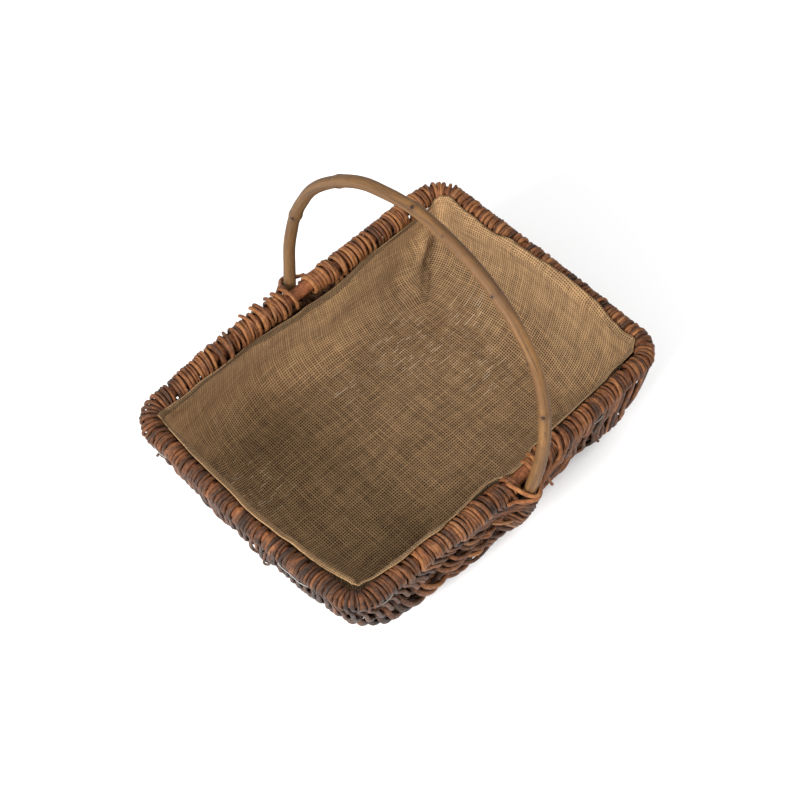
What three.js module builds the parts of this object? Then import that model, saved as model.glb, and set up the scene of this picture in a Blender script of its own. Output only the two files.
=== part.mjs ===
// Wicker garden trug: a low rectangular frame basket of willow with a bent hoop
// handle and a hessian lining. Millimetres, +Z up, the underside on z = 0.
// X runs along the long sides, Y from the near long side to the far one.
//
// Two hoops carry everything. The rim rod is a rounded rectangle lying flat, and
// the handle hoop stands across it, outside the rim at the two crossings (the
// ears), and passes under the basket as its keel. Ribs fan out from ear to ear
// below the rim, the weave covers them and wraps the rim, and the lining hangs
// inside.
import * as THREE from 'three';
import { mergeVertices } from 'three/addons/utils/BufferGeometryUtils.js';

// ---------------------------------------------------------------- dimensions
const RIM_Z = 121;            // rim rod centre above the ground
const RIM_A = 209;            // half the rim centreline, along X
const RIM_B = 154.5;          // half the rim centreline, along Y
const RIM_CORNER_R = 26;      // bend radius of the rim corners, at the centreline
const RIM_ROD_R = 6.75;       // rim rod, radius
const WRAP_R = 10.7;          // rim with its willow wrapping, radius
const HOOP_R = 6.3;           // handle hoop, radius
const RIB_R = 3.0;            // ribs, radius
const LASH_R = 1.7;           // lashing strands, radius
const WIRE_R = 0.7;           // binding wire, radius
const SKIN_T = 4.2;           // thickness of the outer layer of weave
const GAP = 0.35;             // clearance between pieces that touch
const SKIN_OUT = 11;          // weave face outside the rim centreline, at the rim
const SKIN_TOP = -10.3;       // top edge of the weave, from the rim centre
const TAPER_LONG = 6;         // how far a long wall leans in over its height
const BELLY = 4.5;            // long walls swell out on the left and in on the right
const TAPER_LEFT = 21;        // the same for the wall at -X
const TAPER_RIGHT = 25;       // the same for the wall at +X
const BASE_ROUND = 58;        // radius between the walls and the base
const BASE_CORNER_R = 58;     // plan radius of the body near the base
const LINER_IN = 20.0;        // lining behind the outer face of the weave
const LINER_RIM = -11.4;      // lining beside the wrapped rim
const LINER_TOP = 6;          // top of the lining, from the rim centre
const LINER_T = 2;            // lining with its turned hem
const EAR_X = 5;              // where the handle hoop crosses the rim
const EAR_BARE = [-22, 13];   // rim left bare of wrapping beside the handle
const RIB_ANGLES = [11, 30, 47, 67];           // degrees below the rim plane
const RIB_STARTS = [82, 52, 42, 36];           // from the ear, where ribs emerge
const CENTRE = [0.44, 1.09];  // puts the middle of the whole basket over the origin

// How far the hand-bent rim stands off a true rounded rectangle, by station.
// Stations: 0-1 right side, 2-3 far side, 4-5 left side, 6-7 near side, and the
// odd spans between them are the corners.
const RIM_BOW = [
  [0, -1.2], [0.5, -0.6], [1, -2.2], [1.5, -2.0], [2, -1.2], [2.33, -2.0],
  [2.5, -0.4], [2.67, 2.6], [2.83, 0.8], [3, -3.2], [3.5, -3.6], [4, -1.2],
  [4.5, 0.6], [4.8, -2.4], [5, -8.4], [5.5, -9.4], [6, -5.8], [6.17, -2.2],
  [6.33, 1.6], [6.5, 1.8], [6.67, 0.2], [6.83, -1.4], [7, -4.0], [7.5, -3.2],
];

// The handle above the rim: station on the arch in Y, and height over the rim.
const HANDLE_ARCH = [
  [-171.8, 0], [-174.0, 24], [-174.6, 48], [-172.6, 75], [-167.5, 99], [-160.5, 121],
  [-151.3, 141], [-139.5, 157], [-124.8, 171.5], [-107.5, 184.5], [-92.6, 193],
  [-72.3, 203], [-51.0, 210], [-27.3, 215], [-4.3, 218.3], [17.6, 219.2],
  [38.9, 216], [57.9, 211.3], [83.3, 203.0], [108.4, 188.0], [133.4, 165.8],
  [150.5, 144.5], [161.5, 121], [169.0, 98.5], [172.4, 74], [173.6, 50], [171.2, 24],
  [168.6, 0],
];
const HANDLE_TILT = Math.tan(9.9 * Math.PI / 180);  // the handle leans towards +X
const HANDLE_X = 5.2;                               // its foot, along X
const HANDLE_Y = -0.6;                              // its middle, along Y

// ------------------------------------------------------------------ plan shape
const lerp = (a, b, t) => a + (b - a) * t;
const clamp = (v, a, b) => Math.min(b, Math.max(a, v));

function bow(t) {
  t = ((t % 8) + 8) % 8;
  const n = RIM_BOW.length;
  for (let i = 0; i < n; i++) {
    const a = RIM_BOW[i];
    const b = i + 1 < n ? RIM_BOW[i + 1] : [RIM_BOW[0][0] + 8, RIM_BOW[0][1]];
    if (t >= a[0] && t <= b[0]) {
      const f = (t - a[0]) / (b[0] - a[0]);
      const s = f * f * (3 - 2 * f);
      return lerp(a[1], b[1], s);
    }
  }
  return 0;
}

// The uneven belly of the long walls: full on the left, hollow on the right.
function belly(t, z) {
  t = ((t % 8) + 8) % 8;
  const k = Math.floor(t), f = t - k;
  if (k !== 2 && k !== 6) return 0;
  const s = Math.sin(2 * Math.PI * f) * (k === 6 ? 1 : -1);
  return BELLY * s * Math.sin(Math.PI * clamp((-z - 20) / (RIM_Z - 20), 0, 1));
}

// A point of the outline and its outward normal. a, b: half sides, r: corner.
function outline(t, a1, a0, b, r) {
  t = ((t % 8) + 8) % 8;
  const k = Math.floor(t), f = t - k, y0 = b - r;
  if (k === 0) return [a1, lerp(-y0, y0, f), 1, 0];
  if (k === 2) return [lerp(a1 - r, -(a0 - r), f), b, 0, 1];
  if (k === 4) return [-a0, lerp(y0, -y0, f), -1, 0];
  if (k === 6) return [lerp(-(a0 - r), a1 - r, f), -b, 0, -1];
  const ang = ((k - 1) / 2 + f) * Math.PI / 2;
  const cx = k === 1 || k === 7 ? a1 - r : -(a0 - r);
  const cy = k === 1 || k === 3 ? y0 : -y0;
  const nx = Math.cos(ang), ny = Math.sin(ang);
  return [cx + r * nx, cy + r * ny, nx, ny];
}

// Outline of the body at offset 'out' from the rim centreline (one value for
// each side) and depth fraction d (0 at the rim, 1 at the base).
function ringPoint(t, outR, outL, outY, r, d, extra = 0) {
  const p = outline(t, RIM_A + outR, RIM_A + outL, RIM_B + outY, r);
  const w = bow(t) * lerp(1, 0.85, d) + extra;
  return [p[0] + p[2] * w, p[1] + p[3] * w];
}

// Offset of the weave's outer face below the rim, for a wall leaning in by 'taper',
// moved inwards by e, as a list of [depth below rim centre, offset].
function wallProfile(taper, e, zTop) {
  const H = RIM_Z, R = BASE_ROUND, out = [];
  const zs = [zTop, -22, -36, -50];
  for (const z of zs) if (z <= zTop) out.push([z, SKIN_OUT - taper * (-z / H)]);
  for (let i = 0; i <= 5; i++) {
    const a = i / 5 * Math.PI / 2;
    const z = -(H - R) - R * Math.sin(a);
    out.push([z, SKIN_OUT - taper * (-z / H) - R * (1 - Math.cos(a))]);
  }
  if (e === 0) return out;
  return out.map((p, i) => {
    const q0 = out[Math.max(i - 1, 0)], q1 = out[Math.min(i + 1, out.length - 1)];
    let dz = q1[0] - q0[0], dox = q1[1] - q0[1];
    if (i === out.length - 1) { dz = 0; dox = -1; }
    const L = Math.hypot(dz, dox);
    // the inward normal of the profile
    const nz = -dox / L, no = dz / L;
    return [i === 0 ? p[0] : p[0] + e * nz, p[1] + e * no];
  });
}

// Extra room outside the handle's legs, where the weave passes over them.
const LEG_BULGE = [[0, 17.4], [-9, 17.2], [-20, 16.8], [-32, 15.2], [-45, 12.8], [-60, 9.2], [-74, 4.0], [-88, 0]];
const LEG_OFFSET = [[0, 15.6], [-9, 15.4], [-20, 14.4], [-32, 12.0], [-45, 8.3], [-60, 3.0]];
function table(rows, z) {
  if (z >= rows[0][0]) return rows[0][1];
  for (let i = 0; i + 1 < rows.length; i++) {
    const a = rows[i], b = rows[i + 1];
    if (z <= a[0] && z >= b[0]) return lerp(a[1], b[1], (z - a[0]) / (b[0] - a[0]));
  }
  return rows[rows.length - 1][1];
}
function bulge(x, t, z) {
  const k = Math.floor(((t % 8) + 8) % 8);
  if (k !== 2 && k !== 6) return 0;
  const legX = z > 0 ? HANDLE_X : HANDLE_X + z * 0.06;
  const u = (x - legX) / 15;
  return table(LEG_BULGE, z) * Math.exp(-u * u * 0.62);
}

// Stations round the body: close together in the corners and beside the legs.
function stations(plain = false) {
  const s = [];
  const bend = [0, 0.2, 0.4, 0.6, 0.8];
  const push = (k, list) => list.forEach((f) => s.push(k + f));
  const xs = plain ? [-118, -60, 0, 60, 118]
    : [-150, -118, -88, -60, -40, -27, -17, -9, -3, 3, 9, 17, 27, 42, 62, 90, 120, 150];
  const half = RIM_A - RIM_CORNER_R;
  push(0, [0, 0.25, 0.5, 0.75]);
  push(1, bend);
  push(2, [0, ...xs.slice().reverse().map((x) => (half - x) / (2 * half))]);
  push(3, bend);
  push(4, [0, 0.25, 0.5, 0.75]);
  push(5, bend);
  push(6, [0, ...xs.map((x) => (x + half) / (2 * half))]);
  push(7, bend);
  return s;
}

// ------------------------------------------------------------------- helpers
// A closed mesh with only positions, shared vertices merged, slivers dropped.
function solidify(geometry) {
  const g = geometry.index ? geometry.toNonIndexed() : geometry;
  g.deleteAttribute('normal');
  g.deleteAttribute('uv');
  const m = mergeVertices(g, 1e-3);
  const idx = m.index.array, keep = [];
  for (let i = 0; i < idx.length; i += 3) {
    const [a, b, c] = [idx[i], idx[i + 1], idx[i + 2]];
    if (a !== b && b !== c && a !== c) keep.push(a, b, c);
  }
  m.setIndex(keep);
  m.computeVertexNormals();
  return m;
}

// A curve given at stations, which are kept as they are when it is swept.
class StationCurve extends THREE.Curve {
  constructor(points, closed = false) {
    super();
    this.spline = new THREE.CatmullRomCurve3(points, closed, 'catmullrom', 0.5);
    this.count = points.length - (closed ? 0 : 1);
  }
  getPoint(t, target = new THREE.Vector3()) { return this.spline.getPoint(t, target); }
  getUtoTmapping(u) { return u; }
}

function disc(radius, sides) {
  const s = new THREE.Shape();
  for (let i = 0; i < sides; i++) {
    const a = (i + 0.5) / sides * Math.PI * 2;
    if (i === 0) s.moveTo(radius * Math.cos(a), radius * Math.sin(a));
    else s.lineTo(radius * Math.cos(a), radius * Math.sin(a));
  }
  s.closePath();
  return s;
}

function sweep(points, shape) {
  const curve = new StationCurve(points);
  const g = new THREE.ExtrudeGeometry(shape, { steps: curve.count, extrudePath: curve, bevelEnabled: false });
  return solidify(g);
}

// A closed ring of round section along a closed list of points: a torus whose
// rings are moved onto the curve.
function ring(points, radius, sides) {
  const n = points.length;
  const curve = new StationCurve(points, true);
  const g = new THREE.TorusGeometry(100, 10, sides, n);
  const pos = g.attributes.position;
  const v = new THREE.Vector3();
  for (let i = 0; i < pos.count; i++) {
    v.fromBufferAttribute(pos, i);
    const u = Math.atan2(v.y, v.x);
    const rho = Math.hypot(v.x, v.y);
    const w = Math.atan2(v.z, rho - 100);
    const t = ((Math.round(u / (2 * Math.PI) * n) / n) + 1) % 1;
    const c = curve.getPoint(t), tan = curve.getTangent(t).normalize();
    const up = Math.abs(tan.z) > 0.9 ? new THREE.Vector3(1, 0, 0) : new THREE.Vector3(0, 0, 1);
    const side = new THREE.Vector3().crossVectors(tan, ring.ref || up).normalize();
    const top = new THREE.Vector3().crossVectors(side, tan).normalize();
    c.addScaledVector(side, radius * Math.cos(w)).addScaledVector(top, radius * Math.sin(w));
    pos.setXYZ(i, c.x, c.y, c.z);
  }
  return solidify(g);
}

// A shell of revolution squared to the plan of the rim. rows: outline rows from
// the middle of the underside, up the outside, over the edge and down inside.
function squaredShell(rows, sts) {
  const n = sts.length;
  const profile = rows.map((row, i) => new THREE.Vector2(row.pole ? 0 : 50 + i, i));
  const g = new THREE.LatheGeometry(profile, n);
  const pos = g.attributes.position;
  const m = rows.length;
  for (let i = 0; i < pos.count; i++) {
    const j = Math.floor(i / m) % n, k = i % m;
    const row = rows[k];
    const p = row.pole ? row.pole : row.at(sts[j]);
    pos.setXYZ(i, p[0], p[1], p[2]);
  }
  return solidify(g);
}

function shellRows(e, zTop, extraBulge, edge = null) {
  const pr = wallProfile(TAPER_RIGHT, e, zTop);
  const pl = wallProfile(TAPER_LEFT, e, zTop);
  const py = wallProfile(TAPER_LONG, e, zTop);
  const rows = py.map((q, i) => {
    const d = clamp(-q[0] / RIM_Z, 0, 1);
    const r = lerp(RIM_CORNER_R + SKIN_OUT, BASE_CORNER_R, d) - e * Math.max(0.2, 1 - d * 0.6);
    const cap = (o) => (edge === null ? o : Math.min(o, edge));
    return {
      at: (t) => {
        const oR = cap(pr[i][1]), oL = cap(pl[i][1]), oY = cap(q[1]);
        const base = ringPoint(t, oR, oL, oY, r, d);
        const b = (extraBulge ? bulge(base[0], t, q[0]) : 0) + belly(t, q[0]);
        const p = ringPoint(t, oR, oL, oY, r, d, b);
        return [p[0], p[1], q[0]];
      },
    };
  });
  const last = rows[rows.length - 1], z = py[py.length - 1][0];
  const inner = [0.55].map((s) => ({
    at: (t) => { const p = last.at(t); return [p[0] * s, p[1] * s, z]; },
  }));
  return { rows, inner, pole: { pole: [0, 0, z] } };
}

function thinShell(eOut, thickness, zTop, extraBulge, edge = null) {
  const o = shellRows(eOut, zTop, extraBulge, edge);
  const i = shellRows(eOut + thickness, zTop, extraBulge, edge === null ? null : edge - thickness);
  const rows = [o.pole, ...o.inner, ...o.rows.slice().reverse(), ...i.rows, ...i.inner, i.pole];
  return squaredShell(rows, stations(!extraBulge));
}

// Distance outside the mid-layer surface of the body, for tracing the ribs.
function profileAt(taper, e, z) {
  const p = shellProfiles(taper, e);
  if (z >= p[0][0]) return p[0][1];
  for (let i = 0; i + 1 < p.length; i++) {
    if (z <= p[i][0] && z >= p[i + 1][0]) {
      const f = (z - p[i][0]) / Math.min(-1e-6, p[i + 1][0] - p[i][0]);
      return lerp(p[i][1], p[i + 1][1], f);
    }
  }
  return -1e3;
}
const cache = new Map();
function shellProfiles(taper, e) {
  const key = taper + ':' + e;
  if (!cache.has(key)) {
    const H = RIM_Z, R = BASE_ROUND, out = [];
    for (let z = 0; z > -(H - R); z -= 3) out.push([z, SKIN_OUT - taper * (-z / H) - e]);
    for (let i = 0; i <= 30; i++) {
      const a = i / 30 * Math.PI / 2;
      const z = -(H - R) - (R - e) * Math.sin(a);
      out.push([z, SKIN_OUT - taper * (-z / H) - R + (R - e) * Math.cos(a)]);
    }
    cache.set(key, out);
  }
  return cache.get(key);
}
function outside(x, y, z, e) {
  if (z < -(RIM_Z - e)) return 1;
  const d = clamp(-z / RIM_Z, 0, 1);
  const aR = RIM_A + profileAt(TAPER_RIGHT, e, z), aL = RIM_A + profileAt(TAPER_LEFT, e, z);
  const a = x > 0 ? aR : aL;
  const b = RIM_B + profileAt(TAPER_LONG, e, z);
  const r = lerp(RIM_CORNER_R + SKIN_OUT, BASE_CORNER_R, d) - e * Math.max(0.2, 1 - d * 0.6);
  const qx = Math.abs(x) - a + r, qy = Math.abs(y) - b + r;
  const dist = Math.min(Math.max(qx, qy), 0) + Math.hypot(Math.max(qx, 0), Math.max(qy, 0)) - r;
  // nearest station, for the bow of the hand-bent rim
  let t;
  const span = aR + aL - 2 * r, rise = 2 * (b - r);
  if (qx > 0 && qy > 0) {
    const ang = Math.atan2(qy, qx) / (Math.PI / 2);
    t = x > 0 ? (y > 0 ? 1 + ang : 8 - ang) : (y > 0 ? 4 - ang : 5 + ang);
  } else if (qx > qy) {
    t = x > 0 ? clamp((y + b - r) / rise, 0, 1) : 4 + clamp((b - r - y) / rise, 0, 1);
  } else {
    t = y > 0 ? 2 + clamp((aR - r - x) / span, 0, 1) : 6 + clamp((x + aL - r) / span, 0, 1);
  }
  return dist - bow(t) * lerp(1, 0.85, d) - belly(t, z);
}

// One rib: the arc from near ear to far ear, at 'angle' below the rim plane.
function ribPoints(angleDeg, side, e, start, count) {
  const ang = angleDeg * Math.PI / 180;
  const dx = side * Math.cos(ang), dz = -Math.sin(ang);
  const pts = [];
  for (let i = 0; i <= 360; i++) {
    const psi = i / 360 * Math.PI;
    const c = -Math.cos(psi), s = Math.sin(psi);
    let lo = 5, hi = 420;
    for (let k = 0; k < 40; k++) {
      const mid = (lo + hi) / 2;
      const p = [EAR_X + s * dx * mid, c * mid, s * dz * mid];
      if (outside(p[0], p[1], p[2], e) < 0) lo = mid; else hi = mid;
    }
    pts.push(new THREE.Vector3(EAR_X + s * dx * lo, c * lo, s * dz * lo));
  }
  // walk along it, leaving the first and last stretch at the ears
  const len = [0];
  for (let i = 1; i < pts.length; i++) len.push(len[i - 1] + pts[i].distanceTo(pts[i - 1]));
  const total = len[len.length - 1];
  const out = [];
  for (let i = 0; i <= count; i++) {
    const want = lerp(start, total - start, i / count);
    let k = 1;
    while (k < len.length - 1 && len[k] < want) k++;
    const f = (want - len[k - 1]) / (len[k] - len[k - 1]);
    out.push(new THREE.Vector3().lerpVectors(pts[k - 1], pts[k], f));
  }
  return out;
}

// --------------------------------------------------------------------- pieces
const group = new THREE.Group();
const wood = (color, roughness) => new THREE.MeshStandardMaterial({ color, roughness, metalness: 0 });
const M = {
  rim: wood(0x8a5638, 0.62),
  handle: wood(0x9a8160, 0.7),
  rib: wood(0x6b4330, 0.7),
  wrap: wood(0x70452d, 0.66),
  weave: wood(0x5f3d2b, 0.72),
  lash: wood(0xa0653a, 0.6),
  liner: new THREE.MeshStandardMaterial({ color: 0x8b6f4c, roughness: 0.95, metalness: 0 }),
  wire: new THREE.MeshStandardMaterial({ color: 0xa8a39c, roughness: 0.45, metalness: 0.8 }),
};
const rig = new THREE.Group();
rig.position.set(CENTRE[0], CENTRE[1], RIM_Z);   // from the rim plane to the ground
group.add(rig);
function piece(name, geometry, material) {
  const mesh = new THREE.Mesh(geometry, material);
  mesh.name = name;
  rig.add(mesh);
  return mesh;
}

const rimAt = (t, out = 0, z = 0) => {
  const p = outline(t, RIM_A + out, RIM_A + out, RIM_B + out, RIM_CORNER_R + out);
  const w = bow(t);
  return new THREE.Vector3(p[0] + p[2] * w, p[1] + p[3] * w, z);
};
const halfX = RIM_A - RIM_CORNER_R;
const nearT = (x) => 6 + (x + halfX) / (2 * halfX);
const farT = (x) => 2 + (halfX - x) / (2 * halfX);

// Rim stations shared by the rod and its wrapping, so their facets agree.
function rimStations(t0, t1, steps) {
  const out = [];
  for (let i = 0; i <= steps; i++) out.push(lerp(t0, t1, i / steps));
  return out;
}
const earNearL = nearT(EAR_X + EAR_BARE[0]), earNearR = nearT(EAR_X + EAR_BARE[1]);
const earFarL = farT(EAR_X + EAR_BARE[0]), earFarR = farT(EAR_X + EAR_BARE[1]);
const quarterRightNear = [
  earNearR, ...rimStations(lerp(earNearR, 7, 1 / 3), 7, 2), ...rimStations(7.2, 8, 4), 8.166, 8.333, 8.497];
const quarterRightFar = [
  0.503, 0.666, 0.833, ...rimStations(1, 1.8, 4), ...rimStations(2, lerp(2, earFarR, 2 / 3), 2), earFarR];
const quarterLeftFar = [
  earFarL, ...rimStations(lerp(earFarL, 3, 1 / 3), 3, 2), ...rimStations(3.2, 4, 4), 4.166, 4.333, 4.497];
const quarterLeftNear = [
  4.503, 4.666, 4.833, ...rimStations(5, 5.8, 4), ...rimStations(6, lerp(6, earNearL, 2 / 3), 2), earNearL];
const allStations = [
  ...quarterRightFar, ...rimStations(earFarR, earFarL, 3).slice(1, 3), ...quarterLeftFar,
  ...quarterLeftNear, ...rimStations(earNearL, earNearR, 3).slice(1, 3), ...quarterRightNear.slice(0)];

// The rim rod: one bent hoop of thick rod.
{
  const tube = allStations.map((t) => rimAt(t));
  // facing stations 0.497 and 0.503 of a short side become one
  const pts = [];
  for (const p of tube) if (!pts.length || p.distanceTo(pts[pts.length - 1]) > 4) pts.push(p);
  if (pts[0].distanceTo(pts[pts.length - 1]) < 4) pts.pop();
  ring.ref = new THREE.Vector3(0, 0, 1);
  piece('rim_rod', ring(pts, RIM_ROD_R, 10), M.rim);
}

// The handle hoop: arch, legs outside the rim, keel under the basket.
{
  const pts = [];
  for (const [y, z] of HANDLE_ARCH) {
    pts.push(new THREE.Vector3(HANDLE_X + HANDLE_TILT * z, y + HANDLE_Y, z));
  }
  const legX = (z) => HANDLE_X + z * 0.06;
  const eKeel = SKIN_T + 1.5 + HOOP_R;
  const down = (sgn) => {
    const leg = [];
    const yWall = RIM_B + bow(sgn > 0 ? farT(HANDLE_X) : nearT(HANDLE_X));
    for (const z of [-12, -24, -38, -52]) leg.push(new THREE.Vector3(legX(z), sgn * (yWall + table(LEG_OFFSET, z)), z));
    // round into the base along the layer of the ribs
    const R = BASE_ROUND - eKeel;
    for (const deg of [22, 42, 62, 80]) {
      const a = deg * Math.PI / 180;
      const z = -(RIM_Z - BASE_ROUND) - R * Math.sin(a);
      const off = SKIN_OUT - TAPER_LONG * (-z / RIM_Z) - BASE_ROUND + R * Math.cos(a);
      leg.push(new THREE.Vector3(legX(z), sgn * (RIM_B + off), z));
    }
    return leg;
  };
  const far = down(1);
  const near = down(-1).reverse();
  const zk = -(RIM_Z - eKeel);
  const keel = [70, 35, 0, -35, -70].map((y) => new THREE.Vector3(legX(zk), y, zk));
  const all = [...pts, ...far, ...keel, ...near];
  ring.ref = new THREE.Vector3(1, 0, 0);
  piece('handle_hoop', ring(all, HOOP_R, 10), M.handle);
}

// Ribs, five to each side of the keel.
for (const [side, word] of [[-1, 'left'], [1, 'right']]) {
  RIB_ANGLES.forEach((deg, i) => {
    const pts = ribPoints(deg, side, SKIN_T + 2.4 + RIB_R, RIB_STARTS[i], i < 3 ? 26 : 18);
    piece(`rib_${word}_${i + 1}`, sweep(pts, disc(RIB_R, 6)), M.rib);
  });
}

// The wrapping of the rim, wound from each ear to the middle of the short sides.
{
  const sleeve = disc(WRAP_R, 12);
  const hole = disc((RIM_ROD_R + GAP) / Math.cos(Math.PI / 12), 12);
  sleeve.holes.push(new THREE.Path(hole.getPoints().slice().reverse()));
  const parts = {
    rim_wrap_near_right: quarterRightNear,
    rim_wrap_far_right: quarterRightFar,
    rim_wrap_far_left: quarterLeftFar,
    rim_wrap_near_left: quarterLeftNear,
  };
  for (const [name, ts] of Object.entries(parts)) {
    piece(name, sweep(ts.map((t) => rimAt(t)), sleeve), M.wrap);
  }
}

// The woven body: the outer layer of weave, open at the top.
piece('woven_body', thinShell(0, SKIN_T, SKIN_TOP, true), M.weave);

// The lining, with its hem up against the wrapped rim.
{
  const o = thinShell(LINER_IN, LINER_T, LINER_TOP, false, LINER_RIM);
  piece('liner', o, M.liner);
}

// Strands laid over the crossing of rim and handle at each ear.
{
  const lash = (t0, dir, sgn, rows, r) => rows.map(([dx, off, z]) => {
    const x = HANDLE_X + dx;
    const t = sgn > 0 ? farT(x) : nearT(x);
    const p = rimAt(t);
    return new THREE.Vector3(p.x, p.y + sgn * off, z);
  });
  const upper = [[-16, 0.5, 9.4], [-13.5, 8.5, 8.6], [-9.5, 17.6, 4.4], [-4, 24.0, 0.2], [1, 25.7, -1.6], [6, 24.2, -2.0], [11.5, 20.0, -1.6], [18, 15.8, -0.8], [27, 13.8, 0.4]];
  const lower = [[-27, 13.6, -1.5], [-19, 15.0, -3.6], [-11, 20.2, -5.4], [-4, 25.0, -6.0], [1, 26.2, -6.2], [6, 24.6, -6.0], [12.5, 20.0, -5.6], [21, 16.0, -4.6]];
  piece('near_lashing_upper', sweep(lash(0, 1, -1, upper), disc(LASH_R, 6)), M.lash);
  piece('near_lashing_lower', sweep(lash(0, 1, -1, lower), disc(LASH_R - 0.3, 6)), M.lash);
  piece('far_lashing_upper', sweep(lash(0, 1, 1, upper), disc(LASH_R - 0.2, 6)), M.lash);
  piece('far_lashing_lower', sweep(lash(0, 1, 1, lower), disc(LASH_R - 0.4, 6)), M.lash);
}

// Fine wire bound round the basket just under the wrapped rim, in two lengths.
{
  const inner = (list, a, b) => list.slice(a, list.length - b);
  const left = [farT(EAR_X - 42), ...inner(quarterLeftFar, 1, 1), ...inner(quarterLeftNear, 1, 1), nearT(EAR_X - 42)];
  const right = [nearT(EAR_X + 42), ...inner(quarterRightNear, 1, 1), ...inner(quarterRightFar, 1, 1), farT(EAR_X + 42)];
  piece('binding_wire_left', sweep(left.map((t) => rimAt(t, 10.2, -7.8)), disc(WIRE_R, 5)), M.wire);
  piece('binding_wire_right', sweep(right.map((t) => rimAt(t, 10.2, -7.8)), disc(WIRE_R, 5)), M.wire);
}

export default group;
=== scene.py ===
"""A low rectangular willow frame basket with a bent hoop handle and a hessian lining.

Every strand of the weave is a mesh tube of its own shape, laid over and under
the ribs and round the rim. Lengths in the code are millimetres in the frame of
the rim (origin at the rim's middle, in its plane), and are turned into metres on
the ground when a mesh is written.
"""

import bpy  # noqa: E402
import math  # noqa: E402
import numpy as np  # noqa: E402
from mathutils import Matrix, Vector  # noqa: E402


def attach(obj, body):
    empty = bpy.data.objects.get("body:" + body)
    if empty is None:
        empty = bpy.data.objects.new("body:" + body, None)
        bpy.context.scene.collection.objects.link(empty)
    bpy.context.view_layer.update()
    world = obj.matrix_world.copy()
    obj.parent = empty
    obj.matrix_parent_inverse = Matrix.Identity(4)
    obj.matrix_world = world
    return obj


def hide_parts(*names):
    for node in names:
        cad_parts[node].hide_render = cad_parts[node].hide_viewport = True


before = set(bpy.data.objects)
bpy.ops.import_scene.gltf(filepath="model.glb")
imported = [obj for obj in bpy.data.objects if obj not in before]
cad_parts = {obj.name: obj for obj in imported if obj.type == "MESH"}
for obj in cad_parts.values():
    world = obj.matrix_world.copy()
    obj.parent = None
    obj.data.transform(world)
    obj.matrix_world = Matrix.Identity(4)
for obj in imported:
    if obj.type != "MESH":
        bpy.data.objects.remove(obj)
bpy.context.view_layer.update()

# ------------------------------------------------------------------ dimensions
RIM_Z = 121.0
RIM_A, RIM_B, RIM_CORNER_R = 209.0, 154.5, 26.0
RIM_ROD_R, WRAP_R, HOOP_R, RIB_R = 6.75, 10.7, 6.3, 3.0
SKIN_OUT = 11.0
TAPER_LONG, TAPER_LEFT, TAPER_RIGHT, BELLY = 6.0, 21.0, 25.0, 4.5
BASE_ROUND, BASE_CORNER_R = 58.0, 58.0
EAR_X = 5.0
HANDLE_X, HANDLE_Y, HANDLE_TILT = 5.2, -0.6, math.tan(math.radians(9.9))
CENTRE = np.array([0.44, 1.09, RIM_Z])
RIB_ANGLES = [11, 30, 47, 67]
RIB_STARTS = [82, 52, 42, 36]
RIM_BOW = np.array([
    [0, -1.2], [0.5, -0.6], [1, -2.2], [1.5, -2.0], [2, -1.2], [2.33, -2.0],
    [2.5, -0.4], [2.67, 2.6], [2.83, 0.8], [3, -3.2], [3.5, -3.6], [4, -1.2],
    [4.5, 0.6], [4.8, -2.4], [5, -8.4], [5.5, -9.4], [6, -5.8], [6.17, -2.2],
    [6.33, 1.6], [6.5, 1.8], [6.67, 0.2], [6.83, -1.4], [7, -4.0], [7.5, -3.2],
    [8, -1.2]])
HANDLE_ARCH = np.array([
    [-171.8, 0], [-174.0, 24], [-174.6, 48], [-172.6, 75], [-167.5, 99], [-160.5, 121],
    [-151.3, 141], [-139.5, 157], [-124.8, 171.5], [-107.5, 184.5], [-92.6, 193],
    [-72.3, 203], [-51.0, 210], [-27.3, 215], [-4.3, 218.3], [17.6, 219.2],
    [38.9, 216], [57.9, 211.3], [83.3, 203.0], [108.4, 188.0], [133.4, 165.8],
    [150.5, 144.5], [161.5, 121], [169.0, 98.5], [172.4, 74], [173.6, 50], [171.2, 24],
    [168.6, 0]], float)
LEG_BULGE = [[0, 17.4], [-9, 17.2], [-20, 16.8], [-32, 15.2], [-45, 12.8], [-60, 9.2], [-74, 4.0], [-88, 0]]
LEG_OFFSET = [[0, 15.6], [-9, 15.4], [-20, 14.4], [-32, 12.0], [-45, 8.3], [-60, 3.0]]

rng = np.random.default_rng(20417)


def lerp(a, b, t):
    return a + (b - a) * t


def smooth(x):
    x = np.clip(x, 0, 1)
    return x * x * (3 - 2 * x)


def unit(v):
    return v / np.maximum(np.linalg.norm(v, axis=-1, keepdims=True), 1e-9)


# ------------------------------------------------------------- plan and profile
def bow(t):
    t = np.mod(t, 8.0)
    k, v = RIM_BOW[:, 0], RIM_BOW[:, 1]
    i = np.clip(np.searchsorted(k, t, side="right") - 1, 0, len(k) - 2)
    s = smooth((t - k[i]) / (k[i + 1] - k[i]))
    return lerp(v[i], v[i + 1], s)


def belly(t, z):
    t = np.mod(t, 8.0)
    k = np.floor(t)
    f = t - k
    s = np.sin(2 * np.pi * f) * np.where(k == 6, 1.0, np.where(k == 2, -1.0, 0.0))
    return BELLY * s * np.sin(np.pi * np.clip((-z - 20) / (RIM_Z - 20), 0, 1))


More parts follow.
